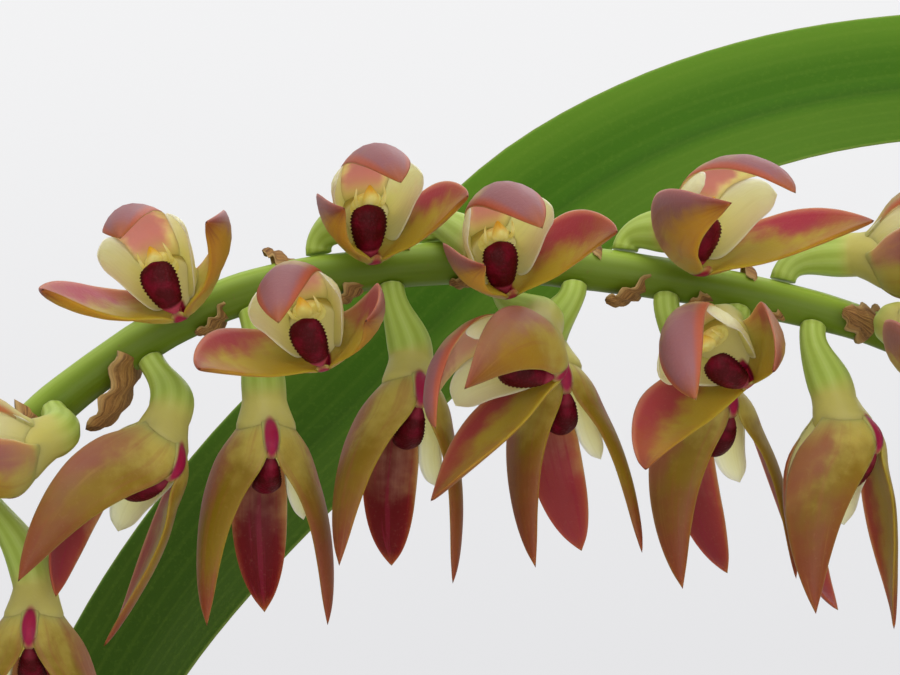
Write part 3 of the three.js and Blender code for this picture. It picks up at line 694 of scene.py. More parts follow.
def paper_finish(growth):
    """Dry brown bracts and sheaths with long fibres and pale torn margins."""
    paint = Paint("dry_bract")
    across, share, length = paint.mark("place")
    fibre = paint.cloud(1, 4, source=paint.joined(across * 8, share * 1.4, length), rough=0.7)
    grain = paint.cloud(2400, 3, rough=0.7)
    colour = paint.coats(
        growth.bract,
        (fibre.rise(0.35, 0.62), shade(112, 72, 34)),
        (grain.rise(0.5, 0.7) * 0.4, shade(186, 146, 84)),
        (across.size().rise(0.7, 1) * 0.6, shade(204, 172, 112)),
    )
    return paint.finish(colour, 0.7 + grain * 0.2, fibre + grain * 0.3, 0.0001, 0.8)


def stripe_on(paint, colour, stripe):
    """The magenta oval under the lip, laid over a colour by the flower's own coordinates."""
    x, y, z = paint.mark("spot")
    wide, tall = x * 3.6, (z - 1.72) * 1.25
    oval = (wide * wide + tall * tall).rise(1.5, 0.6) * y.rise(-0.9, -1.1)
    return paint.blend(oval, colour, stripe)


def side_sepal_finish(bloom):
    """Side sepals: crimson above and gold below on the inner face, ochre and mauve outside. Flowers
    that hang down are darker and more olive, partly their own colour and partly painted shade."""
    paint = Paint("side_sepal")
    across, share, inner = paint.mark("place")
    draw, hang, chin = paint.mark("tone")
    blush = paint.cloud(430, 3)
    mottle = paint.cloud(1500, 3)
    speck = paint.cloud(6500, 2, rough=0.6)
    streak = paint.streaks(across, share, draw, 4)
    patchy = (blush - 0.5) * 1.1 + (mottle - 0.5) * 0.7
    height = across + patchy + (draw - 0.5) * 0.4
    # Partly painted shade: the inner face of a flower that hangs is painted darker.
    hung_front = paint.blend(height.rise(-0.1, 0.7), shade(150, 128, 40), shade(128, 60, 34))
    front = paint.coats(
        bloom.gold,
        (height.rise(-0.2, 0.6), bloom.crimson),
        ((share + (mottle - 0.5) * 0.4).rise(0.5, 0.75) * 0.65, shade(158, 88, 40)),
        (hang * 0.8, hung_front),
        (across.rise(0.75, 1) * 0.6, shade(178, 112, 84)),
    )
    shoulder = share.rise(0.05, 0.16) * share.rise(0.6, 0.4) * (across + patchy).rise(-0.2, 0.5)
    mauve = (across + patchy).rise(-0.25, 0.75) * share.rise(0.12, 0.4)
    reddened = (share + patchy * 0.25 + (draw - 0.5) * 0.3).rise(0.53, 0.83) * hang * 0.8
    # Partly painted shade: a flower that hangs is painted darker, more olive and redder to its tip outside.
    back = paint.coats(
        shade(176, 158, 72),
        ((share + patchy * 0.4).rise(0.2, 0.5), paint.blend(hang, bloom.ochre, shade(122, 98, 10))),
        (shoulder * 0.8, paint.blend(hang, shade(190, 120, 110), shade(140, 76, 44))),
        (mauve * (1 - hang * 0.82), bloom.mauve),
        (streak.rise(0.5, 0.72) * 0.4, shade(146, 84, 52)),
        (reddened, shade(120, 50, 34)),
    )
    rosy = inner.rise(0, 0.3) * height.rise(0.1, 0.8) * 0.7 + inner.rise(0, -0.3) * shoulder * 0.8
    pale = (share + (streak - 0.5) * 0.15 + hang * 0.08).rise(0.36, 0.1)
    colour = paint.coats(
        back,
        (inner.rise(-0.25, 0.25), front),
        (pale * (1 - rosy * (1 - hang)), bloom.cream),
        (chin, bloom.cream),
        ((share + (streak - 0.5) * 0.2).rise(0.74, 0.98) * 0.8, shade(118, 52, 30)),
        (streak.rise(0.42, 0.2) * 0.25, shade(186, 146, 74)),
        (speck.rise(0.56, 0.76) * 0.05, shade(205, 178, 130)),
    )
    colour = stripe_on(paint, colour, bloom.stripe)
    colour = paint.blend(share.rise(0.978, 0.99) * (1 - chin), colour, shade(62, 26, 16))
    return paint.finish(colour, 0.46 + speck * 0.16, speck * 0.5 + streak * 0.5, 0.00005, 0.5,
                        Specular_IOR_Level=0.25, **SEPAL_FLESH)


def back_sepal_finish(bloom):
    """Back sepal: a mauve hood outside, pale with pink patches inside and wine red to its tip."""
    paint = Paint("back_sepal")
    across, share, inner = paint.mark("place")
    draw, hang, _ = paint.mark("tone")
    blush = paint.cloud(520, 3)
    mottle = paint.cloud(1500, 3)
    speck = paint.cloud(6500, 2, rough=0.6)
    streak = paint.streaks(across, share, draw, 5)
    patchy = (blush - 0.5) * 0.4 + (mottle - 0.5) * 0.2
    curve = across * across
    depth = share + hang * 0.22 + (streak - 0.5) * 0.16 + patchy - curve * 0.1
    rosy = share.rise(0.1, 0.2) * (curve * 0.5 - patchy * 2).rise(0.5, 0.1)
    lines = (streak - curve * 0.2).rise(0.5, 0.62) * depth.rise(0.45, 0.6) * 0.4
    front = paint.coats(
        # Painted light: the pale yellow inside is painted paler still, against the shade under the hood.
        shade(244, 236, 168),
        # Partly painted shade: on a flower that hangs the inside is painted darker and tan.
        (hang * 0.8, shade(150, 96, 62)),
        (rosy * (0.76 - hang * 0.5), shade(196, 94, 136)),
        ((depth + hang * 0.1).rise(0.42, 0.78),
         paint.blend(draw.rise(0.2, 0.9) * 0.75, bloom.wine, shade(168, 72, 76))),
        (lines, shade(150, 36, 66)),
        (across.size().rise(0.7, 1) * (0.5 - hang * 0.35), shade(164, 100, 56)),
    )
    back = paint.coats(
        shade(184, 166, 96),
        ((share + (blush - 0.5) * 0.6).rise(0.16, 0.5), bloom.mauve),
        (across.size().rise(0.66, 0.95) * 0.85, shade(168, 78, 44)),
    )
    colour = paint.coats(
        back,
        (inner.rise(-0.2, 0.2), front),
        (share.rise(0.24, 0.08), bloom.cream),
        ((share - hang * 0.08 + patchy * 0.3).rise(0.78, 0.96) * 0.8, shade(146, 78, 36)),
        (speck.rise(0.56, 0.76) * 0.05, shade(214, 178, 150)),
        (share.rise(0.98, 0.992), shade(96, 62, 30)),
    )
    # Painted light: on a flower that does not hang, the inside of the hood glows faintly in its own colour.
    paint.glow(paint.blend(inner.rise(0, 0.3) * (1 - hang).rise(0.2, 0.8), (0, 0, 0), colour), 0.22)
    return paint.finish(colour, 0.46 + speck * 0.16, speck * 0.5 + streak * 0.4, 0.00005, 0.5,
                        Specular_IOR_Level=0.25, **SEPAL_FLESH)


def petal_finish(bloom):
    """Thin, pale, nearly clear petals with faint veins."""
    paint = Paint("petal")
    across, share, _ = paint.mark("place")
    draw, _, _ = paint.mark("tone")
    vein = paint.streaks(across, share, draw, 6)
    blush = paint.cloud(600, 2)
    colour = paint.coats(
        shade(214, 206, 116),
        (share.rise(0.1, 0.6), bloom.petal),
        (vein.rise(0.5, 0.7) * 0.3, shade(206, 198, 126)),
        (blush.rise(0.62, 0.8) * 0.35, shade(216, 166, 140)),
        (across.size().rise(0.86, 1) * 0.6, shade(238, 234, 200)),
    )
    # Painted light: the petals glow faintly in their own colour.
    paint.glow(colour, 0.08)
    return paint.finish(colour, 0.42 + vein * 0.15, vein, 0.00004, 0.5,
                        Specular_IOR_Level=0.25, **PETAL_FLESH)


def lip_finish(bloom):
    """A dark maroon lip with fine warts, on a pink claw."""
    paint = Paint("lip")
    across, share, _ = paint.mark("place")
    _, hang, _ = paint.mark("tone")
    warts = paint.cells(9000)
    glow = paint.cloud(1500, 2)
    colour = paint.coats(
        bloom.lip,
        (glow.rise(0.4, 0.7) * 0.7, shade(120, 0, 34)),
        (warts.rise(0.3, 0.1) * 0.25, shade(132, 8, 44)),
        (across.size().rise(0.7, 1) * 0.6, shade(36, 0, 4)),
        (share.rise(0.42, 0.37) * (1 - hang * 0.85), shade(176, 62, 82)),
    )
    return paint.finish(colour, 0.46 + warts * 0.2, warts, 0.00004, 0.5, Specular_IOR_Level=0.16)


def column_finish(bloom):
    """The yellow column and its orange cap."""
    paint = Paint("column")
    _, cap, _ = paint.mark("tone")
    fine = paint.cloud(2600, 3)
    colour = paint.coats(
        # Painted light: the yellow column is painted paler than its own colour, against the shade in the
        # hood.
        shade(240, 232, 150),
        (fine.rise(0.35, 0.65), shade(226, 212, 116)),
        (cap, bloom.cap),
    )
    # Painted light: the column glows faintly in its own colour.
    paint.glow(colour, 0.15)
    return paint.finish(colour, 0.42 + fine * 0.15, fine, 0.00003, 0.5,
                        Specular_IOR_Level=0.35, **COLUMN_FLESH)


def ovary_finish(bloom):
    """A ribbed pale green ovary that turns cream at the cup, with the magenta stripe of the chin."""
    paint = Paint("ovary")
    _, rib, share = paint.mark("tone")
    fine = paint.cloud(3000, 2)
    blush = paint.cloud(460, 2)
    colour = paint.coats(
        shade(158, 178, 74),
        (rib.rise(-1, 0.2), shade(170, 190, 90)),
        (rib.rise(0.7, 1) * 0.3, shade(184, 200, 116)),
        ((share + (blush - 0.5) * 0.2).rise(0.55, 0.86), bloom.cream),
        # The rim and inside of the cup are pale, and are painted paler still as painted light against its
        # shade.
        (share.rise(0.895, 0.91), shade(240, 234, 160)),
    )
    colour = stripe_on(paint, colour, bloom.stripe)
    return paint.finish(colour, 0.42 + fine * 0.15, fine, 0.00004, 0.5,
                        Specular_IOR_Level=0.25, **OVARY_FLESH)


# Sizes and colours that a user would change


def size(name, description, default):
    return FloatProperty(name=name, description=description, default=default, unit="LENGTH", precision=5)


def tint(name, description, red, green, blue):
    return FloatVectorProperty(name=name, description=description, subtype="COLOR", size=3, min=0, max=1,
                               default=shade(red, green, blue))


def power(name, description, default):
    return FloatProperty(name=name, description=description, default=default, unit="POWER")


class OrchidPot(bpy.types.PropertyGroup):
    """The clay pot and its bark."""

    wall: size("Wall", "Thickness of the pot's wall", 0.004)
    rim_height: size("Rim height", "Height of the thick rim", 0.015)
    floor: size("Floor", "Thickness of the pot's floor", 0.005)
    drain_radius: size("Drain hole", "Radius of a drain hole", 0.004)
    chips: IntProperty(name="Chips", description="Number of bark chips", default=210, min=1)
    clay: tint("Clay", "Colour of the fired clay", 190, 112, 76)
    salt: tint("Salt", "Colour of the pale bloom on the clay", 206, 172, 146)
    bark: tint("Bark", "Colour of the lighter chips", 138, 92, 60)


class OrchidGrowth(bpy.types.PropertyGroup):
    """Rhizome, roots, pseudobulbs, leaves and stalk."""

    rhizome_radius: size("Rhizome", "Radius of the creeping stem", 0.0016)
    root_radius: size("Root", "Radius of a root", 0.00075)
    leaf_thickness: size("Leaf", "Thickness of a leaf at its middle", 0.0012)
    root: tint("Root", "Colour of the root skin", 206, 198, 176)
    bulb: tint("Pseudobulb", "Colour of the pseudobulbs", 138, 152, 66)
    leaf: tint("Leaf", "Colour of the leaves", 60, 102, 10)
    stalk: tint("Stalk", "Colour of the flower stalk", 142, 168, 50)
    bract: tint("Bract", "Colour of the dry bracts", 176, 128, 66)


class OrchidBloom(bpy.types.PropertyGroup):
    """Colours of the flowers."""

    crimson: tint("Crimson", "Upper part of the side sepals inside", 158, 46, 62)
    gold: tint("Gold", "Lower part of the side sepals inside", 172, 150, 42)
    ochre: tint("Ochre", "Side sepals outside", 186, 142, 38)
    mauve: tint("Mauve", "Blush outside the sepals", 138, 88, 90)
    cream: tint("Cream", "Cup and the foot of each sepal", 190, 180, 96)
    wine: tint("Wine", "Far half of the back sepal inside", 104, 16, 24)
    petal: tint("Petal", "Pale petals", 222, 218, 150)
    lip: tint("Lip", "Dark lip", 74, 0, 6)
    cap: tint("Cap", "Cap of the column", 226, 172, 40)
    stripe: tint("Stripe", "Stripe under the chin of the cup", 156, 10, 60)


class OrchidStage(bpy.types.PropertyGroup):
    """Floor, lights and camera."""

    floor_radius: size("Floor", "Radius of the floor", 0.75)
    sky: FloatProperty(name="Sky", description="Strength of the light from the background", default=0.85)
    key_power: power("Key light", "Power of the light above", 1)
    fill_power: power("Fill light", "Power of the light in front", 3)
    rim_power: power("Rim light", "Power of the light behind", 0.6)
    lens: FloatProperty(name="Lens", description="Focal length for a sensor 36 mm wide", default=145.6,
                        unit="CAMERA")


# Pieces


class ORCHID_OT_pot(bpy.types.Operator):
    """Make the clay pot, a turned wall with a thick rim and drain holes"""

    bl_idname = "orchid.pot"
    bl_label = "Clay pot"

    FOOT_RADIUS = 31
    SHOULDER_RADIUS = 42
    RIM_FLARE = 0.6
    RIM_SLOPE = 1.5
    ROUNDING = 1.6
    ROUNDING_STEPS = 6
    LONG_EDGE = 8
    TURNING_STEPS = 96
    DRAIN_RING = 15
    DRAIN_HOLES = 3
    DRAIN_TURN = 0.08
    DRILL_LENGTH = 0.03

    def execute(self, context):
        pot = context.scene.orchid_pot
        height, widest = POT_HIGH.z / MM, POT_HIGH.x / MM
        wall, rim, floor = pot.wall / MM, pot.rim_height / MM, pot.floor / MM
        foot, rim_radius = self.FOOT_RADIUS, widest - self.RIM_FLARE
        under = height - rim
        outline = [
            [foot, 0], [self.SHOULDER_RADIUS, under], [rim_radius, under + self.RIM_SLOPE],
            [rim_radius + self.RIM_FLARE, height], [rim_radius - wall, height],
            [foot - wall + self.RIM_FLARE, floor],
        ]
        bm = new_shape()
        corners, edges = outlined(bm, outline)
        bmesh.ops.bevel(bm, geom=corners[:1] + corners[3:5] + edges[:1] + edges[3:4], offset=self.ROUNDING,
                        segments=self.ROUNDING_STEPS, profile=0.5, affect="VERTICES", material=-1)
        walls = [edge for edge in bm.edges if edge.calc_length() > self.LONG_EDGE]
        bmesh.ops.subdivide_edges(bm, edges=walls, cuts=6)
        turned(bm, self.TURNING_STEPS)
        rings = [edge for edge in bm.edges if edge.is_boundary]
        bmesh.ops.holes_fill(bm, edges=rings, sides=0)
        for face in bm.faces:
            face.smooth = len(face.verts) < 5
        piece = finish_piece(bm, "clay_pot_turned", [clay_finish(pot)], "clay_pot")
        cutter = self.drills(pot)
        holes = piece.modifiers.new("drain", "BOOLEAN")
        holes.operation = "DIFFERENCE"
        holes.solver = "EXACT"
        holes.object = cutter
        bored = bpy.data.meshes.new_from_object(piece.evaluated_get(context.evaluated_depsgraph_get()))
        piece.modifiers.clear()
        piece.data = bored
        bpy.data.objects.remove(cutter)
        return {"FINISHED"}

    def drills(self, pot):
        """The round rods that cut the drain holes."""
        bm = bmesh.new()
        for k in range(self.DRAIN_HOLES):
            middle = outward(2 * math.pi * (k / self.DRAIN_HOLES + self.DRAIN_TURN)) * self.DRAIN_RING * MM
            bmesh.ops.create_cone(bm, cap_ends=True, segments=32, radius1=pot.drain_radius,
                                  radius2=pot.drain_radius, depth=self.DRILL_LENGTH,
                                  matrix=Matrix.Translation(middle))
        return put("drain_rods", mesh_of(bm, "drain_rods"))


class ORCHID_OT_bark(bpy.types.Operator):
    """Make the potting bark: a dark bed with loose chips on it"""

    bl_idname = "orchid.bark"
    bl_label = "Bark mix"

    TOP = 66
    BED_DEPTH = 1.2
    FOOT_RADIUS = 27.2
    WALL_GAP = 1.9
    CHIP_SIZES = (4.5, 9.5)
    CHIP_LEVELS = (-1.6, -0.2)
    CHIP_WIDTH_SHARES = (0.45, 0.8)
    CHIP_THICKNESSES = (1.4, 2.8)
    CHIP_WEAR = 0.35
    CHIP_TILT = 0.4
    CHIP_MARGIN = 3.4
    CHIP_WALL_GAP = 0.9
    EDGE_BAND = 8
    EDGE_CHIP_SHARE = 0.75
    TURNING_STEPS = 64
    GOLDEN_TURN = 2.39996
    SEED = 11

    def execute(self, context):
        pot = context.scene.orchid_pot
        inside = (POT_HIGH.x - pot.wall) / MM - self.WALL_GAP
        draw = random.Random(self.SEED)
        tilt = self.CHIP_TILT
        bm = new_shape()
        self.bed(bm, inside)
        for k in range(pot.chips):
            away = math.sqrt((k + 0.5) / pot.chips) * (inside - self.CHIP_MARGIN)
            spot = self.GOLDEN_TURN * k
            size = draw.uniform(*self.CHIP_SIZES)
            if away > inside - self.EDGE_BAND:
                size *= self.EDGE_CHIP_SHARE
            turn = Matrix.Rotation(draw.uniform(0, math.pi), 3, "Z")
            for axis in "XY":
                turn = turn @ Matrix.Rotation(draw.uniform(-tilt, tilt), 3, axis)
            level = self.TOP + draw.uniform(*self.CHIP_LEVELS)
            middle = Vector((away * math.cos(spot), away * math.sin(spot), level))
            self.chip(bm, draw, size, turn, middle, inside)
        finish_piece(bm, "bark_chips", [bark_finish(pot)], "bark_mix")
        return {"FINISHED"}

    def bed(self, bm, inside):
        """The dark filling under the chips, turned from its outline."""
        low, top, edge = BARK_LOW.z / MM, self.TOP - self.BED_DEPTH, inside - self.BED_DEPTH
        outline = [
            [0, low], [self.FOOT_RADIUS, low], [edge, top], [inside * 0.6, top + 0.4], [0, top + 0.3],
        ]
        outlined(bm, outline)
        turned(bm, self.TURNING_STEPS)
        marks = bm.verts.layers.float_vector["place"]
        for vert in bm.verts:
            vert[marks] = vert.co

    def chip(self, bm, draw, size, turn, middle, inside):
        """One chip: a slab with worn edges and no two corners alike."""
        marks = bm.verts.layers.float_vector["place"]
        tones = bm.verts.layers.float_vector["tone"]
        before = set(bm.verts)
        slab = bmesh.ops.create_cube(bm, size=1)["verts"]
        wide, thick = size * draw.uniform(*self.CHIP_WIDTH_SHARES), draw.uniform(*self.CHIP_THICKNESSES)
        bmesh.ops.scale(bm, verts=slab, vec=(size, wide, thick))
        for vert in slab:
            vert.co += Vector([draw.uniform(-1, 1) * share for share in (0.16 * size, 0.12 * size, 0.45)])
        edges = list({edge for vert in slab for edge in vert.link_edges})
        bmesh.ops.bevel(bm, geom=edges, offset=self.CHIP_WEAR, segments=1, profile=0.5, affect="EDGES",
                        material=-1)
        tone = (draw.random(), 0, 0)
        made = [vert for vert in bm.verts if vert not in before]
        shift = Vector((0, 0, 0))
        for vert in made:
            vert[marks] = vert.co
            vert[tones] = tone
            vert.co = turn @ vert.co + middle
            reach = Vector((vert.co.x, vert.co.y, 0))
            over = reach.length - (inside - self.CHIP_WALL_GAP)
            if over > 0 and over > shift.length:
                shift = reach.normalized() * -over
        for vert in made:
            vert.co += shift


class ORCHID_OT_rhizome(bpy.types.Operator):
    """Make the creeping rhizome with its roots"""

    bl_idname = "orchid.rhizome"
    bl_label = "Rhizome and roots"

    RING_PACE = 1.9
    RING_DEPTH = 0.1
    ROOT_STEPS = 46
    ROOT_SIDES = 12
    ROOT_TIP_FROM = 0.94
    # A root's share of the way, its swing to the side as a share of its length, and its rise
    ROOT_WAY = ((0, 0, 0.4), (0.35, 0.07, 0.7), (0.7, -0.05, 0.2), (1, 0.06, 0))

    def execute(self, context):
        growth = context.scene.orchid_growth
        radius, root = growth.rhizome_radius / MM, growth.root_radius / MM
        bm = new_shape()
        for run in RHIZOME_RUNS:
            course = Course([(x, y, RHIZOME_LEVEL) for x, y in run])

            def thick(share, angle, course=course):
                ring = 1 + self.RING_DEPTH * math.sin(self.RING_PACE * share * course.length)
                return radius * ring * (1 - 0.45 * smooth(share, 0.93, 1))

            tube(bm, course, int(course.length * 2.5), 20, thick, 0)

        def thin(share, angle):
            past = max(0, share - self.ROOT_TIP_FROM)
            return root * mix(1, 0.75, share) * math.sqrt(max(0.1, 1 - past / 0.06))

        for number, (start, heading, length) in enumerate(ROOTS):
            course = self.root_course(start, heading, length, RHIZOME_LEVEL - radius + root)
            tube(bm, course, self.ROOT_STEPS, self.ROOT_SIDES, thin, 1, number / len(ROOTS))
        finish_piece(bm, "rhizome_and_root_skin", [rhizome_finish(), root_finish(growth)],
                     "rhizome_and_roots")
        return {"FINISHED"}

    def root_course(self, start, heading, length, crest):
        """A root's wavy way over the bark from the rhizome."""
        ahead = outward(math.radians(heading))
        beside = Vector((-ahead.y, ahead.x, 0))
        points = []
        for share, swing, rise in self.ROOT_WAY:
            points.append(Vector((*start, crest + rise)) + (ahead * share + beside * swing) * length)
        return Course(points)


def bulb_foot(bulb):
    """Where a pseudobulb stands on the rhizome."""
    radius = bpy.context.scene.orchid_growth.rhizome_radius / MM
    return Vector((*bulb["at"], RHIZOME_LEVEL + radius + SEAT_GAP))


def bulb_top(bulb):
    return bulb_foot(bulb) + Vector((*bulb["lean"], bulb["height"]))


class ORCHID_OT_bulbs(bpy.types.Operator):
    """Make the ridged pseudobulbs with the papery remains round their feet"""

    bl_idname = "orchid.bulbs"
    bl_label = "Pseudobulbs"

    NECK = 1.7
    ROWS = 44
    RIDGES = 5
    SHEATH_FOOT = 0.02
    SHEATH_HEIGHT = 0.2
    SHEATH_ROWS = 20
    SHEATH_EDGE_ROW = 12

    def execute(self, context):
        growth = context.scene.orchid_growth
        finishes = [bulb_finish(growth), paper_finish(growth)]
        for number, bulb in enumerate(BULBS):
            bm = new_shape()
            self.body(bm, bulb)
            name = f"pseudobulb_{number + 1}"
            finish_piece(bm, name + "_skin", finishes, name)
        return {"FINISHED"}

    def width(self, bulb, share):
        belly = math.sin(math.pi * mix(0.1, 0.93, share ** 0.85))
        return bulb["radius"] * math.sqrt(max(0, belly)) * mix(1, 0.62, share)

    def body(self, bm, bulb):
        """The ridged bulb and, round its foot, the papery remains with a torn edge."""
        foot, top = bulb_foot(bulb), bulb_top(bulb)
        rows, last, edge = self.ROWS, self.SHEATH_ROWS, self.SHEATH_EDGE_ROW

        def place(row, angle, spread):
            share = smooth(row, 0, rows) * 0.35 + row / rows * 0.65
            ridge = math.cos(self.RIDGES * angle)
            groove = 1 + (0.08 * ridge - 0.02 * ridge * ridge) * math.sin(math.pi * share)
            radius = max(self.width(bulb, share), self.NECK * smooth(share, 0.8, 1)) * groove
            end = math.sqrt(min(1, share / 0.03)) * math.sqrt(min(1, (1 - share) / 0.012))
            point = foot.lerp(top, share) + outward(angle) * radius * end
            return point, (ridge, share, math.sin(angle)), (0, 0, 0)

        skin(bm, 60, rows, place, 0)

        def sheath(row, angle, spread):
            if not spread:
                return foot.lerp(top, 0.03), (0, 0, 0), (0, 0, 0)
            share = min(row, edge) / edge
            inside = row > edge
            climb = (last - row) / (last - edge) if inside else share
            torn = 0.7 + 0.3 * math.sin(3 * angle + bulb["height"])
            high = self.SHEATH_FOOT + self.SHEATH_HEIGHT * climb * torn
            loose = 1.0 if inside else 1.07 + 0.03 * math.sin(9 * angle)
            radius = self.width(bulb, high) * loose + 0.05
            point = foot.lerp(top, high) + outward(angle) * radius
            return point, (math.cos(7 * angle) * 0.6, share, angle), (0, 0, 0)

        skin(bm, 48, last, sheath, 1)


def leaf_course(start, leaf):
    """A leaf's middle line: up out of the bulb, then over, more and more level."""
    turn, tilt = math.radians(leaf["heading"]), math.radians(leaf["rise"])
    at = start + Vector((0, 0, 2))
    points = [start, at]
    for k in range(1, LEAF_PIECES + 1):
        tilt -= math.radians(leaf["droop"]) * 2 * k / (LEAF_PIECES * (LEAF_PIECES + 1))
        step = Vector((math.cos(turn) * math.cos(tilt), math.sin(turn) * math.cos(tilt), math.sin(tilt)))
        at = at + step * leaf["length"] / LEAF_PIECES
        points.append(at)
    return Course(points)


class ORCHID_OT_leaves(bpy.types.Operator):
    """Make the strap leaves, one on each pseudobulb"""

    bl_idname = "orchid.leaves"
    bl_label = "Leaves"

    ROWS = 110
    WIDENS_UP_TO = 0.42
    NARROWS_FROM = 0.72
    BLUNT_FROM = 0.985
    EDGE_THICKNESS_SHARE = 0.45
    WAVE_SHARE = 0.02

    def execute(self, context):
        growth = context.scene.orchid_growth
        material = leaf_finish(growth)
        for number, bulb in enumerate(BULBS):
            start = bulb_top(bulb) + Vector((0, 0, SEAT_GAP))
            bm = new_shape()
            if bulb["leaf"]:
                leaf = dict(zip(LEAF_WORDS, bulb["leaf"]))
                turn = math.radians(leaf["heading"])
                face = Vector((-math.cos(turn), -math.sin(turn), 1.2))
                self.strap(bm, leaf_course(start, leaf), leaf["width"], [face, face], number)
            else:
                faces = [Vector(face) for face in LONG_LEAF_FACES]
                self.strap(bm, Course([start, *LONG_LEAF_COURSE]), LONG_LEAF_WIDTH, faces, number)
            name = f"leaf_{number + 1}"
            finish_piece(bm, name + "_blade", [material], name)
        return {"FINISHED"}

    def strap(self, bm, course, width, faces, number):
        """A narrow stalk that widens to a strap with a channel, and ends in a blunt tip."""
        rows, blunt = self.ROWS, self.BLUNT_FROM
        thick = bpy.context.scene.orchid_growth.leaf_thickness / MM / 2

        def place(row, angle, spread):
            share = row / rows
            ahead = course.ahead(share)
            face = square_to(faces[0].lerp(faces[1], smooth(share, 0.35, 0.7)), ahead)
            side = ahead.cross(face)
            end = max(0, (share - self.NARROWS_FROM) / 0.285)
            swell = smooth(share, 0, self.WIDENS_UP_TO) * math.sqrt(max(0, 1 - end ** 2.2))
            half = width / 2 * mix(LEAF_STALK_SHARE, 1, swell)
            if share > blunt:
                half *= math.sqrt(max(0, (1 - share) / (1 - blunt)))
            across = math.cos(angle)
            fold = math.sqrt(across * across + 0.012) * 2 - 1
            edge = mix(1, self.EDGE_THICKNESS_SHARE, across * across)
            lift = thick * edge * math.sin(angle) + fold * half * LEAF_CHANNEL
            wave = self.WAVE_SHARE * width * math.sin(share * 19 + number) * across * swell
            point = course.at(share) + (side * across * half + face * (lift + wave)) * spread
            return point, (across * spread, share, math.sin(angle) * spread), (0, 0, 0)

        skin(bm, 28, rows, place, 0)


STALK = Course(STALK_COURSE)


def stalk_radius(share):
    """The stalk's radius: a little thinner up to the flowers, and tapered past their middle."""
    past = (share * STALK.length - FLOWERS_FROM) / (STALK.length - FLOWERS_FROM)
    if past < 0:
        return mix(STALK_RADII["foot"], STALK_RADII["flowers"], share * STALK.length / FLOWERS_FROM)
    return mix(STALK_RADII["flowers"], STALK_RADII["tip"], smooth(past, 0.6, 1))


def seat_of(bloom):
    """Where a flower leaves the stalk: its middle, the way ahead and the way out."""
    share = 1 - bloom["tip"] / STALK.length
    ahead = STALK.ahead(share)
    right, near, up = RANK_SEATS[bloom["side"]]
    return share, STALK.at(share), ahead, square_to(Vector((right, -near, up)), ahead)


class ORCHID_OT_stalk(bpy.types.Operator):
    """Make the flower stalk with its sheaths and the dry bract under each flower"""

    bl_idname = "orchid.stalk"
    bl_label = "Flower stalk"

    STEPS = 330
    SIDES = 28
    JOINT_SWELLING = 0.05
    JOINT_LENGTH = 0.9
    SHEATH_STEPS = 14
    SHEATH_OPENING = (1.08, 1.3)
    BRACT_ROWS = 18
    BRACT_DROP = 0.75
    BRACT_HALF_WIDTH = 0.78
    BRACT_HALF_THICKNESS = 0.06
    SEED = 5

    def execute(self, context):
        growth = context.scene.orchid_growth
        draw = random.Random(self.SEED)
        bm = new_shape()
        swellings = [1 - bloom["tip"] / STALK.length for bloom in BLOOMS]

        def thick(share, angle):
            away = [(share - mark) * STALK.length / self.JOINT_LENGTH for mark in swellings]
            joint = sum(self.JOINT_SWELLING * math.exp(-step ** 2) for step in away)
            return stalk_radius(share) * (1 + joint + 0.02 * math.sin(4 * angle + 40 * share))

        tube(bm, STALK, self.STEPS, self.SIDES, thick, 0)
        for start, end in SHEATHS:
            self.sheath(bm, start, end)
        for bloom in BLOOMS:
            self.bract(bm, bloom, draw)
        finish_piece(bm, "flower_stalk_stem", [stalk_finish(growth), paper_finish(growth)],
                     "flower_stalk")
        return {"FINISHED"}

    def sheath(self, bm, start, end):
        """A papery tube that hugs the stalk at its foot and stands open above."""
        course = Course([STALK.at(mix(start, end, k / 4) / STALK.length) for k in range(5)])
        radius = stalk_radius(start / STALK.length)

        def loose(share, angle):
            return radius * mix(*self.SHEATH_OPENING, share ** 2) + 0.06 * math.sin(5 * angle) * share

        tube(bm, course, self.SHEATH_STEPS, self.SIDES, loose, 1)

    def bract(self, bm, bloom, draw):
        """A curled, torn scale that stands at the foot of an ovary."""
        _, centre, ahead, out = seat_of(bloom)
        size = bloom["size"] * bloom["bract"] * draw.uniform(0.75, 1)
        wide = ahead.cross(out)
        root = centre - ahead * self.BRACT_DROP
        rows = self.BRACT_ROWS
        curl, lean, torn = draw.uniform(0.2, 0.9), draw.uniform(-0.35, 0.35), draw.uniform(0, 6)
        line = [root + (ahead * back + out * away + wide * lean * shift) * size for back, away, shift in (
            (0.25, 0.3, 0), (-0.35, 0.95, 0), (-1.1, 1.35 + 0.2 * curl, 0.5), (-1.7, 1.15 + 0.6 * curl, 1))]
        reach = BRACT_LENGTH / 2

        def place(row, angle, spread):
            share = row / rows
            middle = through(line, share)
            if not spread:
                return middle, (0, share, torn), (0, 0, 0)
            along = (through(line, share + 0.05) - through(line, share - 0.05)).normalized()
            side = square_to(wide, along)
            up = side.cross(along)
            across = math.cos(angle)
            half = self.BRACT_HALF_WIDTH * reach * size * (1 - share ** 1.7) ** 0.6 + 0.03
            half *= 1 + 0.16 * math.sin(17 * share + torn + 2 * across)
            roll = curl * 0.9 * across * across * half
            crumple = 0.07 * math.sin(23 * share + 5 * across + torn)
            lift = self.BRACT_HALF_THICKNESS * math.sin(angle) + roll + crumple
            point = middle + side * half * across * (1 - 0.25 * curl * share) + up * lift
            return point, (across, share, torn), (0, 0, 0)

        skin(bm, 16, rows, place, 1)


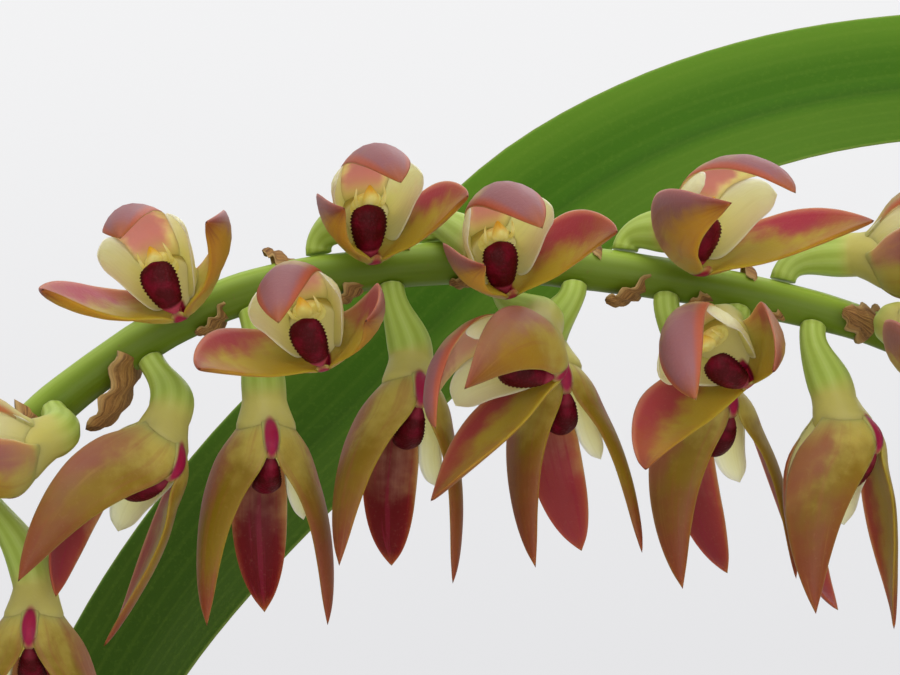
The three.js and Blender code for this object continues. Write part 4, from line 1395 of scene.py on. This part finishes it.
class ORCHID_OT_blooms(bpy.types.Operator):
    """Make the flowers and buds, each on its curved ovary"""

    bl_idname = "orchid.blooms"
    bl_label = "Flowers"

    LIP_SWING = 0.4
    LIP_WIDTH = 1.1
    HUNG_LIP_LOSS = 0.25
    FRINGE = 0.1
    FRINGE_ROWS = range(21, 47)
    CAP_MIDDLE = (0, 0.76, 2.5)
    CAP_AXIS = (0, 0.08, 0.26)
    CAP_ROWS = 14
    HORN = ((0.46, 0.3, 2), (0.56, 0.7, 2.42), (0.52, 1.12, 2.66))
    HORN_ROWS = 8
    HORN_RADIUS = 0.12
    BUD_ROWS = 24
    BUD_SEAM = 0.07
    OVARY_STEPS = 16
    OVARY_RIBS = 9
    RIB_DEPTH = 0.013
    SEED = 3
    FINISHES = (side_sepal_finish, back_sepal_finish, petal_finish, lip_finish, column_finish, ovary_finish)

    def execute(self, context):
        bloom_colours = context.scene.orchid_bloom
        finishes = [finish(bloom_colours) for finish in self.FINISHES]
        draw = random.Random(self.SEED)
        for number, bloom in enumerate(BLOOMS):
            bm = new_shape()
            share, centre, _, out = seat_of(bloom)
            place = self.matrix(bloom, centre)
            # Tone: the flower's own draw, and how far it hangs down. A flower that hangs is painted darker,
            # partly its own colour and partly painted shade, as it faces away from the light above.
            tone = (draw.random(), max(0, -place.col[2].z), 0)
            back = place.inverted()
            foot = back @ (centre + out * (stalk_radius(share) + SEAT_GAP * 0.4))
            stand = back.to_3x3() @ out
            if bloom["open"]:
                self.head(bm, bloom, tone)
            else:
                self.bud(bm, bloom, tone)
            self.ovary(bm, bloom, foot, stand, tone)
            spots = bm.verts.layers.float_vector["spot"]
            for vert in bm.verts:
                vert[spots] = vert.co / bloom["size"]
            bmesh.ops.transform(bm, matrix=place, verts=bm.verts)
            name = f"flower_{number + 1:02d}"
            finish_piece(bm, name + "_bloom", finishes, name)
        return {"FINISHED"}

    def matrix(self, bloom, centre):
        """The flower's own frame in the part's frame."""
        yaw, pitch, roll = (math.radians(angle) for angle in bloom["turn"])
        front = Vector((math.sin(yaw) * math.cos(pitch), -math.cos(yaw) * math.cos(pitch), math.sin(pitch)))
        upright = square_to(Vector((0, 0, 1)), front)
        across = upright.cross(front)
        up = upright * math.cos(roll) + across * math.sin(roll)
        right = up.cross(front)
        turned = Matrix((right, up, front)).transposed().to_4x4()
        dx, near, dz = bloom["reach"]
        turned.translation = centre + Vector((dx, -near, dz))
        return turned

    def head(self, bm, bloom, tone):
        """The open flower in front of its cup. A blade given with -1 is turned left for right."""
        size = bloom["size"]
        for side, draw in ((1, tone[0]), (-1, 1 - tone[0])):
            blade(bm, SIDE_SEPAL, side * bloom["open"], size, (draw, tone[1], 0))
        blade(bm, BACK_SEPAL, 1, size, tone)
        for side in (1, -1):
            blade(bm, PETAL, side, size, tone)
        blade(bm, strip(CHIN), 1, size, (tone[0], tone[1], 1))
        blade(bm, self.lip(bloom["lip_back"], tone[1]), 1, size, tone, self.fringe)
        blade(bm, strip(COLUMN), 1, size, (tone[0], 0, 0))
        self.cap(bm, size)

    def lip(self, back, hang):
        """The lip, swung in by its own amount, and narrower on a flower that hangs."""
        middle = []
        for x, y, z in LIP["middle"]:
            swing = back * smooth(z, 1.6, 3)
            middle.append([x - self.LIP_SWING * swing, y, z - swing])
        half_width = [half * (self.LIP_WIDTH - self.HUNG_LIP_LOSS * hang) for half in LIP["half_width"]]
        return strip({**LIP, "middle": middle, "half_width": half_width})

    def fringe(self, row):
        """How far a row of the lip's edge stands out: every other one does, along its broad part."""
        return 1 + (self.FRINGE * (row % 2) if row in self.FRINGE_ROWS else 0)

    def cap(self, bm, size):
        """The column's cap with the small horn at each side."""
        rows, horn_rows = self.CAP_ROWS, self.HORN_ROWS

        def dome(row, angle, spread):
            turn = math.pi * row / rows
            narrow = 1 - 0.55 * math.sin(angle)
            reach = Vector((0.28 * math.cos(angle) * narrow, 0.4 * math.sin(angle), 0)) * math.sin(turn)
            point = Vector(self.CAP_MIDDLE) + reach + Vector(self.CAP_AXIS) * -math.cos(turn)
            return point * size, (math.cos(angle), row / rows, 0), (0.5, 0.5 + 0.5 * math.sin(angle), 0)

        skin(bm, 18, rows, dome, COLUMN_SKIN)
        for side in (1, -1):
            line = [Vector((side * x, y, z)) for x, y, z in self.HORN]

            def horn(row, angle, spread):
                share = row / horn_rows
                radius = self.HORN_RADIUS * (1 - 0.85 * share) * spread
                off = Vector((math.cos(angle), 0, math.sin(angle))) * radius
                return (through(line, share) + off) * size, (0, share, 0), (0.5, 0.1, 0)

            skin(bm, 8, horn_rows, horn, COLUMN_SKIN)

    def bud(self, bm, bloom, tone):
        """A closed bud: three sepals shut, with a seam between each pair."""
        size = bloom["size"]
        rows = self.BUD_ROWS

        def place(row, angle, spread):
            share = row / rows
            belly = mix(OVARY_RADII[1], BUD["radius"], math.sin(math.pi * min(1, share * 1.1)))
            seam = 1 - self.BUD_SEAM * (0.5 + 0.5 * math.cos(3 * angle)) ** 6
            radius = belly * mix(1, 0.75, share) * seam * math.sqrt(max(0, 1 - share ** 3)) * spread
            point = Vector((radius * math.cos(angle), radius * math.sin(angle), BUD["length"] * share - 0.3))
            return point * size, (math.cos(1.5 * angle), share * 0.9, -1), tone

        skin(bm, 36, rows, place, SIDE_SKIN)

    def ovary(self, bm, bloom, foot, stand, tone):
        """The ribbed ovary, curved from the stalk to the flower, and the cup that it opens into."""
        size = bloom["size"]
        length = foot.length
        first, second = foot + stand * 0.4 * length, Vector((0, 0, -min(0.35 * length, 0.9 * size)))
        steps = self.OVARY_STEPS
        stations = []
        for k in range(steps + 1):
            t = k / steps
            point = foot * (1 - t) ** 3 + first * 3 * t * (1 - t) ** 2 + second * 3 * t * t * (1 - t)
            lead = (first - foot) * (1 - t) ** 2 + (second - first) * 2 * t * (1 - t) - second * t * t
            radius = mix(OVARY_RADII[0], OVARY_RADII[1], smooth(t, 0.1, 0.8)) * size
            stations.append((point, lead.normalized(), radius, 0.8 * t))
        if bloom["open"]:
            for number, (y, radius, z) in enumerate(CUP_RINGS):
                middle = Vector((0, y, z)) * size
                stations.append((middle, Vector((0, 0, 1)), radius * size, 0.82 + 0.015 * number))
        side = Vector((1, 0.1, 0.1))
        frames = []
        for _, lead, _, _ in stations:
            side = square_to(side, lead)
            frames.append((side, lead.cross(side)))
        last = len(stations) - 1

        def place(row, angle, spread):
            k = min(max(row - 1, 0), last)
            middle, _, radius, share = stations[k]
            rib = math.cos(self.OVARY_RIBS * angle)
            reach = radius * (1 + self.RIB_DEPTH * rib * smooth(0.86 - share, 0, 0.2)) * spread
            point = middle + frames[k][0] * reach * math.cos(angle) + frames[k][1] * reach * math.sin(angle)
            return point, point / size, (tone[0], rib, share)

        skin(bm, 72, last + 2, place, OVARY_SKIN)


class ORCHID_OT_stage(bpy.types.Operator):
    """Set up the pale floor, the soft lights, the background and the camera"""

    bl_idname = "orchid.stage"
    bl_label = "Stage"

    CAMERA = (0.040, -0.152, 0.165)
    TARGET = (0.04, -0.01, 0.15)
    SENSOR_WIDTH = 36
    # Each lamp with its place and its width in metres
    LAMPS = (
        ("key", (-0.02, -0.16, 0.62), 0.34),
        ("fill", (0.16, -0.8, 0.3), 0.7),
        ("rim", (0.2, 0.45, 0.45), 0.4),
    )

    def execute(self, context):
        stage = context.scene.orchid_stage
        context.scene.view_settings.view_transform = "Standard"
        self.floor(stage)
        for name, place, width in self.LAMPS:
            self.lamp(name, place, width, getattr(stage, name + "_power"))
        self.world(stage)
        camera = put("photo_camera", bpy.data.cameras.new("photo_camera"))
        camera.location = self.CAMERA
        camera.rotation_euler = (math.pi / 2, 0, 0)
        camera.data.sensor_width = self.SENSOR_WIDTH
        camera.data.lens = stage.lens
        camera.data.clip_start = 0.01
        context.scene.camera = camera
        return {"FINISHED"}

    def floor(self, stage):
        bm = bmesh.new()
        bmesh.ops.create_circle(bm, cap_ends=True, radius=stage.floor_radius, segments=128)
        paint = Paint("pale_floor")
        colour = paint.blend(paint.cloud(3, 2), shade(212, 212, 211), shade(218, 218, 217))
        put("floor", mesh_of(bm, "floor", [paint.finish(colour, 0.8)]))

    def lamp(self, name, place, width, power):
        light = bpy.data.lights.new(name, "AREA")
        light.shape = "DISK"
        light.size = width
        light.energy = power
        lamp = put(name, light)
        lamp.location = place
        lamp.rotation_euler = (Vector(self.TARGET) - Vector(place)).to_track_quat("-Z", "Y").to_euler()

    def world(self, stage):
        """A pale background, a little darker below. It lights from above and behind most."""
        world = bpy.data.worlds.new("studio")
        bpy.context.scene.world = world
        paint = Paint("studio", world)
        way = paint.node("ShaderNodeTexCoord", out="Generated")
        _, back, up = paint.split(way)
        seen = paint.node("ShaderNodeLightPath", out="Is Camera Ray")
        colour = paint.blend(up.rise(-0.12, 0.12), shade(229, 229, 231), shade(243, 243, 244))
        glow = stage.sky * (0.35 + up.rise(-0.3, 0.9) * 0.45 + back.rise(-0.3, 0.9) * 0.45)
        paint.drive("Color", colour)
        paint.drive("Strength", seen + (1 - seen) * glow)


OPERATORS = (
    ORCHID_OT_pot, ORCHID_OT_bark, ORCHID_OT_rhizome, ORCHID_OT_bulbs, ORCHID_OT_leaves, ORCHID_OT_stalk,
    ORCHID_OT_blooms, ORCHID_OT_stage,
)
SETTINGS = {
    "orchid_pot": OrchidPot, "orchid_growth": OrchidGrowth, "orchid_bloom": OrchidBloom,
    "orchid_stage": OrchidStage,
}


class ORCHID_PT_panel(bpy.types.Panel):
    """The sizes, colours and steps of the orchid"""

    bl_idname = "ORCHID_PT_panel"
    bl_label = "Potted orchid"
    bl_space_type = "VIEW_3D"
    bl_region_type = "UI"
    bl_category = "Orchid"

    def draw(self, context):
        for word in SETTINGS:
            box = self.layout.box()
            group = getattr(context.scene, word)
            for name in group.bl_rna.properties.keys():
                if name not in ("rna_type", "name"):
                    box.prop(group, name)
        for operator in OPERATORS:
            self.layout.operator(operator.bl_idname)


def register():
    for made in (*SETTINGS.values(), *OPERATORS, ORCHID_PT_panel):
        bpy.utils.register_class(made)
    for word, group in SETTINGS.items():
        setattr(bpy.types.Scene, word, PointerProperty(type=group))


def unregister():
    for word in SETTINGS:
        delattr(bpy.types.Scene, word)
    for made in reversed((*SETTINGS.values(), *OPERATORS, ORCHID_PT_panel)):
        bpy.utils.unregister_class(made)


def main():
    register()
    bpy.ops.orchid.pot()
    bpy.ops.orchid.bark()
    bpy.ops.orchid.rhizome()
    bpy.ops.orchid.bulbs()
    bpy.ops.orchid.leaves()
    bpy.ops.orchid.stalk()
    bpy.ops.orchid.blooms()
    bpy.ops.orchid.stage()


if __name__ == "__main__":
    main()
